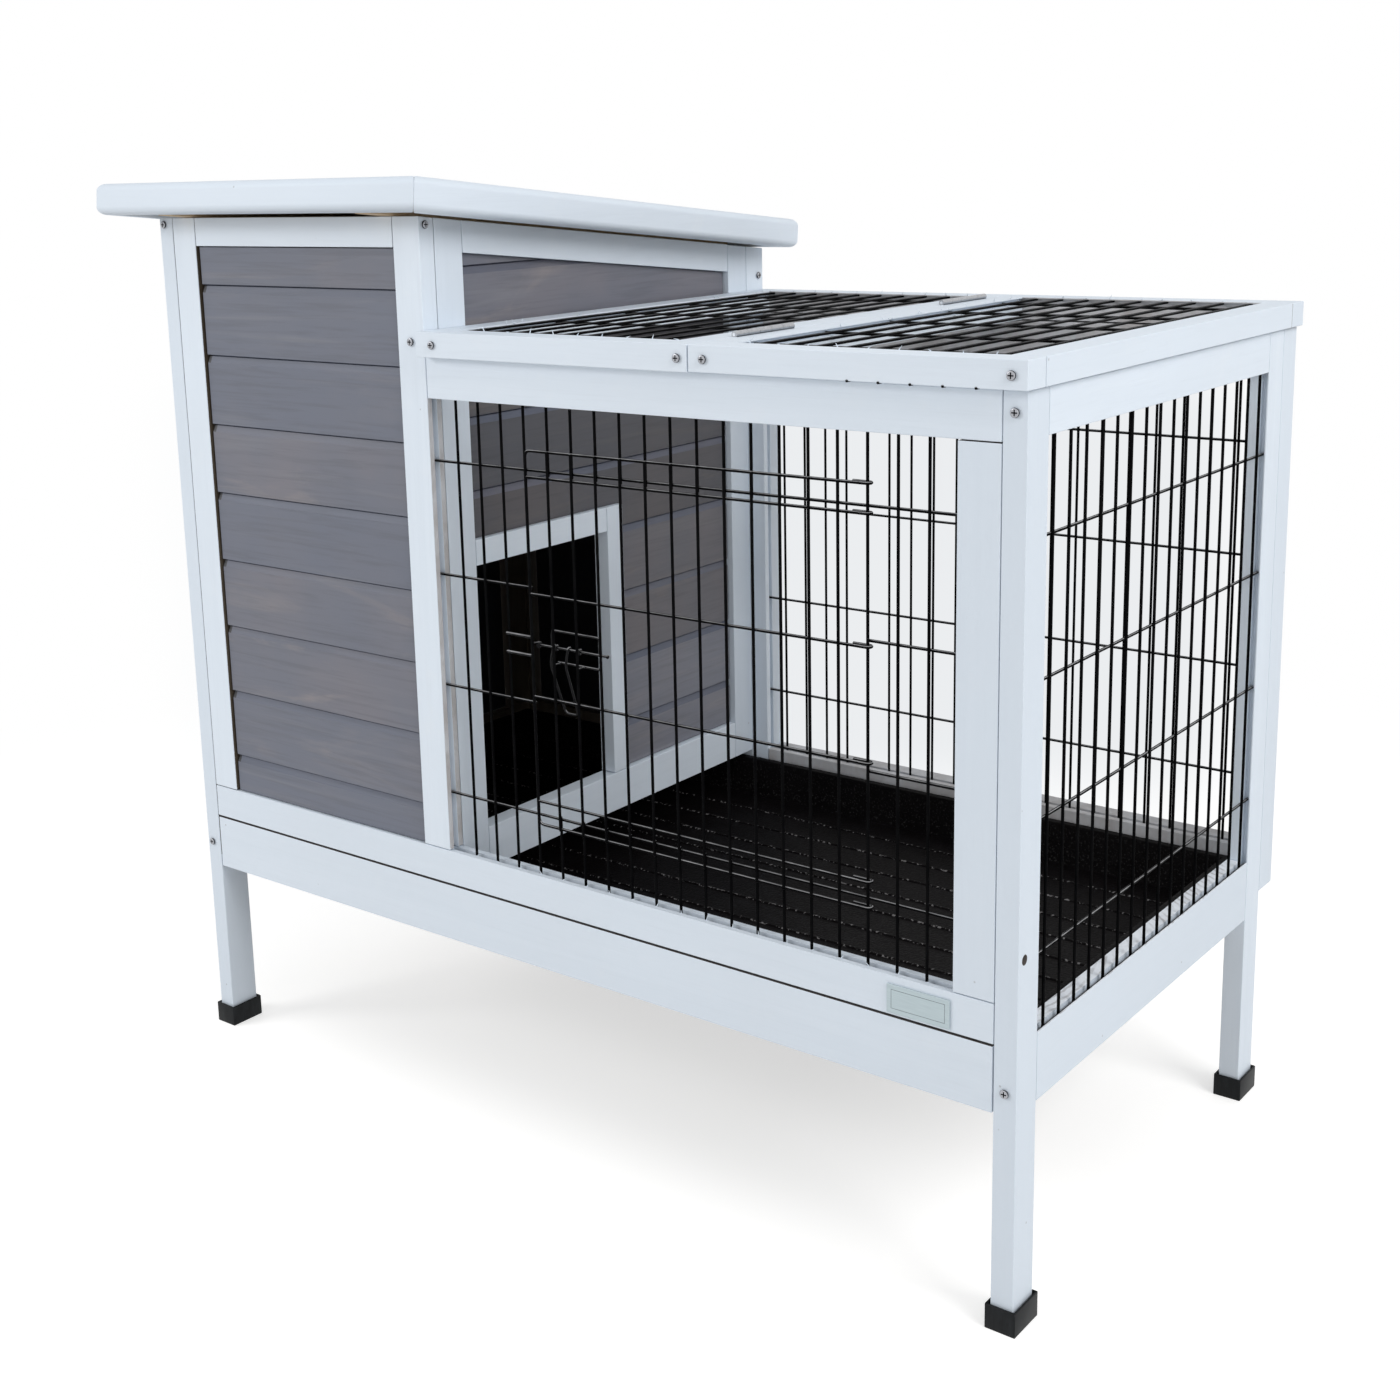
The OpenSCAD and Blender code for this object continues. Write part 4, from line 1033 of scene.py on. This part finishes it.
def splinters(name, body, places, spread_xyz):
    """Short torn fibres, white with paint, left by the saw along the lips of the wire grooves"""
    slivers = []
    for place in places:
        deselect()
        length = rng.uniform(2.0, 4.6) * MM
        bpy.ops.mesh.primitive_cone_add(vertices=5, radius1=0.55 * MM, radius2=0.12 * MM, depth=length,
                                        location=(0, 0, length / 2))
        sliver = bpy.context.object
        place_in_mesh(sliver)
        for v in sliver.data.vertices:
            v.co.x += (v.co.z / length) ** 2 * 1.2 * MM
        sliver.rotation_euler = [rng.uniform(-a, a) for a in spread_xyz]
        sliver.location = place
        place_in_mesh(sliver)
        slivers.append(sliver)
    finish_piece(join(slivers, name), body, "white_timber", painted_end)


for node_name, body, label in (("lid_mesh", "run_lid", "lid"), ("top_fixed_mesh", "hutch", "fixed_top")):
    low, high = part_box(node_name)
    lip_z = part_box("lid_rails")[1].z - 0.4 * MM
    lip = Vector((5.6, 5.6, 0)) * MM
    inner_low, inner_high = low + lip, high - lip
    places = []
    for x in spread(low.x, high.x, wire_pitch, 12 * MM):
        places += [(x + rng.uniform(-4, 4) * MM, inner_high.y, lip_z), (x + 1.2 * MM, inner_low.y, lip_z)]
    for k in range(14):
        places.append((inner_low.x, rng.uniform(inner_low.y, inner_high.y), lip_z))
    splinters(label + "_torn_fibres", body, places, (1.1, 1.1, 3.1))

places = [(x + rng.uniform(1.5, 4) * MM, front_wire_y - 2.2 * MM, bottom_rail_top - 0.6 * MM)
          for x in uprights]
splinters("rail_torn_fibres", "hutch", places, (0.9, 0.9, 3.1))

# The lid's wires come through the underside of its front rail, on the right
mesh_low, mesh_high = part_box("lid_mesh")
lid_low, lid_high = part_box("lid_rails")
tip_z = lid_low.z + 0.6 * MM
lid_middle = (lid_low.x + lid_high.x) / 2
tips = [rod((x, lid_low.y - 0.3 * MM, tip_z), (x, lid_low.y + 5 * MM, tip_z), 1.1 * MM)
        for x in spread(mesh_low.x, mesh_high.x, wire_pitch, 12 * MM) if x > lid_middle]
tips = join(tips, "lid_wire_tips")
finish_piece(tips, "run_lid", "black_wire", coat)

# ---------------------------------------------------------------- screws

def pan_head_screw():
    """Pan head towards -Y with its seat on y = 0, a cross recess, and a pointed shank"""
    deselect()
    bpy.ops.mesh.primitive_cylinder_add(vertices=32, radius=3.5 * MM, depth=1.7 * MM,
                                        location=(0, -0.85 * MM, 0), rotation=(math.pi / 2, 0, 0))
    head = bpy.context.object
    place_in_mesh(head)
    apply_modifier(head, "BEVEL", width=1.3 * MM, segments=4, limit_method="ANGLE",
                   angle_limit=math.radians(60))
    arm, narrow = 2.2 * MM, 0.475 * MM
    for x, z in ((arm, narrow), (narrow, arm)):
        cut_block(head, (-x, -2.6 * MM, -z), (x, -0.4 * MM, z))
    head.data.materials.clear()
    for mat in (screw_steel, screw_painted_shade):
        head.data.materials.append(mat)
    # The cross recess and the rim under the head are painted near black, as painted shade
    for face in head.data.polygons:
        off_axis = math.hypot(face.center.x, face.center.z)
        in_recess = off_axis < 2.4 * MM and (abs(face.normal.y) < 0.5 or face.center.y > -0.6 * MM)
        on_rim = off_axis > 3.25 * MM
        face.material_index = 1 if in_recess or on_rim else 0
    deselect()
    bpy.ops.mesh.primitive_cone_add(vertices=12, radius1=1.45 * MM, radius2=0.5 * MM, depth=13 * MM,
                                    location=(0, 6.5 * MM, 0), rotation=(-math.pi / 2, 0, 0))
    shank = bpy.context.object
    place_in_mesh(shank)
    screw = join([head, shank], "pan_head_screw")
    smooth(screw, 35)
    return screw


screw = pan_head_screw()
for name in ("frame_screws", "lid_screws"):
    heads = []
    for solid in worked_copy(name):
        low, high = corners(solid)
        bpy.data.objects.remove(solid)
        facing_side = (high.x - low.x) > (high.y - low.y)
        fixed = screw.copy()
        fixed.data = screw.data.copy()
        bpy.context.scene.collection.objects.link(fixed)
        middle = (low + high) / 2
        fixed.rotation_euler = (0, 0, math.pi / 2) if facing_side else (0, 0, 0)
        if facing_side:
            fixed.location = (high.x - 1.7 * MM, middle.y, middle.z)
        else:
            fixed.location = (middle.x, low.y + 1.7 * MM, middle.z)
        place_in_mesh(fixed)
        heads.append(fixed)
    screws = join(heads, name + "_dressed")
    finish_piece(screws, body_of_node[name], "zinc_fitting")
    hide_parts(name)
bpy.data.objects.remove(screw)

# ---------------------------------------------------------------- foot caps

def foot_cap(low, high, number):
    """An open plastic cup, a little looser than the leg that stands in it"""
    cap = block(f"foot_cap_{number}", low, high)
    bpy.ops.object.mode_set(mode="EDIT")
    bpy.ops.mesh.select_all(action="DESELECT")
    bpy.ops.object.mode_set(mode="OBJECT")
    for face in cap.data.polygons:
        face.select = face.normal.z > 0.9
    bpy.ops.object.mode_set(mode="EDIT")
    bpy.ops.mesh.inset(thickness=1.7 * MM)
    bpy.ops.mesh.extrude_region_move(TRANSFORM_OT_translate={"value": (0, 0, -(high.z - low.z) + 3 * MM)})
    bpy.ops.object.mode_set(mode="OBJECT")
    apply_modifier(cap, "BEVEL", width=0.7 * MM, segments=3, limit_method="ANGLE",
                   angle_limit=math.radians(40))
    smooth(cap, 40)
    return finish_piece(cap, "hutch", "black_plastic", cap_black)


for i, solid in enumerate(worked_copy("foot_caps")):
    low, high = corners(solid)
    bpy.data.objects.remove(solid)
    foot_cap(low, high, i + 1)
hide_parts("foot_caps")

# ---------------------------------------------------------------- tray

def litter_tray():
    """A vacuum-formed tray: flange, drafted walls, rounded edges and low ribs along its floor"""
    low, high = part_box("tray_pan")
    wall = 2.5 * MM
    tray = block("litter_tray", (low.x, low.y, high.z - wall), high)
    flange = 6 * MM
    drop = high.z - low.z - wall
    bpy.ops.object.mode_set(mode="EDIT")
    bpy.ops.mesh.select_mode(type="FACE")
    for up, inset in ((-1, flange), (1, flange + wall)):
        bpy.ops.object.mode_set(mode="OBJECT")
        for face in tray.data.polygons:
            face.select = face.normal.z * up > 0.9
        bpy.ops.object.mode_set(mode="EDIT")
        bpy.ops.mesh.inset(thickness=inset)
        bpy.ops.mesh.extrude_region_move(TRANSFORM_OT_translate={"value": (0, 0, -drop)})
        bpy.ops.transform.resize(value=(0.994, 0.988, 1), center_override=(low + high) / 2)
    bpy.ops.object.mode_set(mode="OBJECT")
    apply_modifier(tray, "BEVEL", width=2.0 * MM, segments=3, limit_method="ANGLE",
                   angle_limit=math.radians(35))
    tray.data.materials.append(plastic)
    parts = [tray]
    rib_z = low.z + wall - 0.6 * MM
    y = low.y + 32 * MM
    while y < high.y - 24 * MM:
        rib = rod((low.x + 26 * MM, y, rib_z), (high.x - 26 * MM, y, rib_z), 1.9 * MM, 16)
        rib.data.materials.append(rib_plastic)
        parts.append(rib)
        y += 40.5 * MM
    tray = join(parts, "litter_tray")
    smooth(tray, 35)
    finish_piece(tray, "tray", "black_plastic")
    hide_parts("tray_pan")


litter_tray()

# ---------------------------------------------------------------- plate

def bare_plate():
    """A small bare plate with a fine border line"""
    low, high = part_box("blank_plate")
    plate = block("bare_plate", low, high)
    apply_modifier(plate, "BEVEL", width=0.4 * MM, segments=2, limit_method="ANGLE",
                   angle_limit=math.radians(80))
    plate.data.materials.append(silver)
    plate.data.materials.append(border_grey)
    face_y = min(f.center.y for f in plate.data.polygons)
    for face in plate.data.polygons:
        face.select = abs(face.center.y - face_y) < 1e-5
    bpy.ops.object.mode_set(mode="EDIT")
    bpy.ops.mesh.select_mode(type="FACE")
    bpy.ops.mesh.inset(thickness=3.4 * MM)
    bpy.ops.mesh.inset(thickness=0.5 * MM)
    bpy.ops.object.mode_set(mode="OBJECT")
    for face in plate.data.polygons:
        x, y, z = face.center
        from_edge = min(x - low.x, high.x - x, z - low.z, high.z - z)
        if abs(y - face_y) < 1e-5 and 3.7 * MM < from_edge < 4.3 * MM:
            face.material_index = 1
    finish_piece(plate, "hutch", "plate_silver")
    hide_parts("blank_plate")


bare_plate()

# ---------------------------------------------------------------- latch

bolt_r = 1.1 * MM
low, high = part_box("latch_bolt")
bolt_y = (low.y + high.y) / 2
bolt_z = low.z + bolt_r
hoop_z = high.z - bolt_r
hoop_left, hoop_right = low.x + 16.7 * MM, high.x - 9.3 * MM
rod_left, rod_right = low.x, high.x - 1 * MM

bolt = [bent_wire([(rod_left, bolt_y, bolt_z), (rod_right, bolt_y, bolt_z)], bolt_r, 0),
        bent_wire([(hoop_left, bolt_y, bolt_z + 1 * MM), (hoop_left, bolt_y, hoop_z),
                   (hoop_right, bolt_y, hoop_z), (hoop_right, bolt_y, bolt_z + 1 * MM)], bolt_r, 3 * MM),
        rod((rod_right - 1.2 * MM, bolt_y, bolt_z), (rod_right + 0.8 * MM, bolt_y, bolt_z), 1.7 * MM, 16)]
bolt = join(bolt, "latch_bolt_wire")
smooth(bolt, 50)
finish_piece(bolt, "latch_bolt", "black_wire", latch_coat)
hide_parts("latch_bolt")


def wire_eye(x, turns, tail_x):
    """A coil of thin wire round the bolt, with its tail laid back to a door upright"""
    inner, rise = 2.1 * MM, 1.8 * MM
    coil = []
    for step in range(16 * turns + 1):
        angle = step * math.pi / 8
        coil.append((x + rise * step / 16, bolt_y + inner * math.sin(angle),
                     bolt_z + inner * math.cos(angle)))
    tail = (tail_x, door_upright_y + half, bolt_z + inner + 1 * MM)
    return bent_wire([*coil, tail], thin_r, 0.2 * MM)


# Three eyes, and a short wire under the bolt that two stubs hold
thin_r = 0.8 * MM
short_y = bolt_y + 2.2 * MM
short_z = bolt_z - 13 * MM
first_x, second_x, third_x = door_uprights[:3]
guides = [wire_eye(first_x + 0.8 * MM, 2, first_x + 3 * MM),
          wire_eye(second_x - 4 * MM, 1, second_x),
          wire_eye(third_x - 4 * MM, 1, third_x),
          bent_wire([(second_x - 4 * MM, short_y, short_z), (third_x + 15 * MM, short_y, short_z)],
                    bolt_r, 0)]
for x in (second_x, third_x):
    guides.append(rod((x, door_upright_y + half, short_z + 0.4 * MM), (x, short_y, short_z), thin_r))
guides = join(guides, "latch_guide_wires")
smooth(guides, 50)
finish_piece(guides, "wire_door", "black_wire", latch_coat)
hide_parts("latch_guides")

# The finger loop hangs by two hooks over the bolt; y and z of its wire from the bolt, top to bottom,
# and how far each leg leans to the right there
low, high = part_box("latch_handle")
left, right = hoop_left + 2.6 * MM, hoop_left + 18.6 * MM
wire_run = [(1.5 * MM, 0.8 * MM), (0, 2.3 * MM), (-2.3 * MM, 0), (-2.2 * MM, -14 * MM),
            (-0.8 * MM, -34 * MM), (0.7 * MM, low.z + 1 * MM - bolt_z)]
left_lean = (0, 0, 0, -3.5, 2.5, 9)
right_lean = (0, 0, 0, -3, 2, 7)
left_leg, right_leg = ([(x + lean * MM, bolt_y + y, bolt_z + z) for lean, (y, z) in zip(leans, wire_run)]
                       for x, leans in ((left, left_lean), (right, right_lean)))
handle = bent_wire(left_leg + right_leg[::-1], 1 * MM, 4 * MM)
handle.name = "latch_handle_wire"
smooth(handle, 50)
finish_piece(handle, "latch_handle", "black_wire", latch_coat)
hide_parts("latch_handle")

# ---------------------------------------------------------------- hinges and receiver keep their solids

for name, mat in (("latch_receiver", latch_coat), ("lid_hinge_fixed", hinge_zinc),
                  ("lid_hinge_moving", hinge_zinc), ("roof_hinge_fixed", zinc),
                  ("roof_hinge_moving", zinc), ("hinge_pins", zinc)):
    finish_solid(name, mat)

# ---------------------------------------------------------------- camera

# From the front, off to the right and a little above the hutch
camera = bpy.data.cameras.new("camera")
camera_object = bpy.data.objects.new("camera", camera)
bpy.context.scene.collection.objects.link(camera_object)
camera_object.location = (1.03246, -1.36166, 0.85551)
camera_object.rotation_euler = [math.radians(a) for a in (77.7730, 1.6755, 38.9114)]
camera.lens = 48.204
camera.sensor_width = 36
camera.shift_x = 0.0596
camera.shift_y = -0.0943
bpy.context.scene.camera = camera_object

# ---------------------------------------------------------------- studio

def soft_lamp(name, place, aim, size, power):
    lamp = bpy.data.lights.new(name, "AREA")
    lamp.shape = "RECTANGLE"
    lamp.size, lamp.size_y = size
    lamp.energy = power
    made = bpy.data.objects.new(name, lamp)
    made.location = place
    made.rotation_euler = (Vector(aim) - Vector(place)).to_track_quat("-Z", "Y").to_euler()
    bpy.context.scene.collection.objects.link(made)


soft_lamp("key_softbox", (3.70, -0.65, 3.07), (0.1, 0.0, 0.45), (2.25, 2.25), 97)
soft_lamp("strip_light", (-1.75, -2.0, 1.6), (-0.1, 0.0, 0.40), (1.2, 0.6), 24)
soft_lamp("front_softbox", (0.9, -3.2, 1.0), (0.1, 0.0, 0.45), (2.0, 1.2), 7.5)

# The room lights the hutch softly, and looks plain white where it is seen
world = bpy.data.worlds.new("white_room")
bpy.context.scene.world = world
world.use_nodes = True
sky = world.node_tree
sky.nodes.clear()
lit = node(sky, "ShaderNodeBackground", in_Color=(0.97, 0.985, 1.0, 1), in_Strength=0.56)
backdrop = node(sky, "ShaderNodeBackground", in_Color=(1, 1, 1, 1), in_Strength=1.0)
chosen = node(sky, "ShaderNodeMixShader")
sky.links.new(seen_directly(sky), chosen.inputs["Fac"])
sky.links.new(lit.outputs[0], chosen.inputs[1])
sky.links.new(backdrop.outputs[0], chosen.inputs[2])
sky.links.new(chosen.outputs[0], node(sky, "ShaderNodeOutputWorld").inputs["Surface"])


def studio_floor():
    """A pale floor that keeps the soft shadow near the hutch and turns plain white further out"""
    mat, tree, shader = new_material("studio_floor", Base_Color=(0.72, 0.71, 0.695, 1),
                                     Roughness=0.9, Specular_IOR_Level=0.1)
    glow = node(tree, "ShaderNodeEmission", in_Strength=1.0)
    coords = node(tree, "ShaderNodeTexCoord")
    reach = node(tree, "ShaderNodeVectorMath", operation="LENGTH")
    tree.links.new(coords.outputs["Object"], reach.inputs[0])
    far = ramp(tree, arithmetic(tree, "MULTIPLY", reach.outputs["Value"], 0.4),
               [(0.26, (0.0,)), (0.62, (1.0,))], "EASE")
    seen = seen_directly(tree)
    lift = node(tree, "ShaderNodeEmission")
    tree.links.new(arithmetic(tree, "MULTIPLY", seen, 0.55), lift.inputs["Strength"])
    near = node(tree, "ShaderNodeAddShader")
    tree.links.new(shader.outputs["BSDF"], near.inputs[0])
    tree.links.new(lift.outputs["Emission"], near.inputs[1])
    mixed = node(tree, "ShaderNodeMixShader")
    tree.links.new(arithmetic(tree, "MULTIPLY", far, seen), mixed.inputs["Fac"])
    tree.links.new(near.outputs["Shader"], mixed.inputs[1])
    tree.links.new(glow.outputs["Emission"], mixed.inputs[2])
    add_painted_shade_sweep(tree, coords, seen, mixed)
    return mat


def add_painted_shade_sweep(tree, coords, seen, floor_shader):
    """A faint fan of painted shade, pale grey, on the floor behind the run, from 2 m to 9 m off, with soft
    edges
    """
    start, heading = Vector((1.03, -1.36)), math.radians(38.9)
    place = node(tree, "ShaderNodeSeparateXYZ")
    tree.links.new(coords.outputs["Object"], place.inputs["Vector"])
    east = arithmetic(tree, "SUBTRACT", place.outputs["X"], start.x)
    north = arithmetic(tree, "SUBTRACT", place.outputs["Y"], start.y)

    def mixed_by(first, second):
        return arithmetic(tree, "ADD", arithmetic(tree, "MULTIPLY", east, first),
                          arithmetic(tree, "MULTIPLY", north, second))

    ahead = mixed_by(-math.sin(heading), math.cos(heading))
    aside = mixed_by(math.cos(heading), math.sin(heading))
    turn = arithmetic(tree, "DIVIDE", aside, arithmetic(tree, "MAXIMUM", ahead, 0.5))
    in_turn = ramp(tree, arithmetic(tree, "ADD", turn, 0.5),
                   [(0.22, (0.0,)), (0.42, (1.0,)), (0.80, (1.0,)), (0.86, (0.0,))], "EASE")
    in_reach = ramp(tree, arithmetic(tree, "MULTIPLY", ahead, 0.1),
                    [(0.205, (0.0,)), (0.27, (1.0,)), (0.55, (1.0,)), (0.94, (0.0,))], "EASE")
    grey = node(tree, "ShaderNodeEmission", in_Color=(0.835, 0.852, 0.870, 1), in_Strength=1.0)
    both = node(tree, "ShaderNodeMixShader")
    share = arithmetic(tree, "MULTIPLY", arithmetic(tree, "MULTIPLY", in_turn, in_reach), seen)
    tree.links.new(share, both.inputs["Fac"])
    tree.links.new(floor_shader.outputs["Shader"], both.inputs[1])
    tree.links.new(grey.outputs["Emission"], both.inputs[2])
    tree.links.new(both.outputs["Shader"], tree.nodes["Material Output"].inputs["Surface"])


deselect()
bpy.ops.mesh.primitive_plane_add(size=24, location=(0, 0, 0))
floor = bpy.context.object
floor.name = "studio_floor"
floor.data.materials.append(studio_floor())
place_in_mesh(floor)

bpy.context.scene.view_settings.view_transform = "Standard"
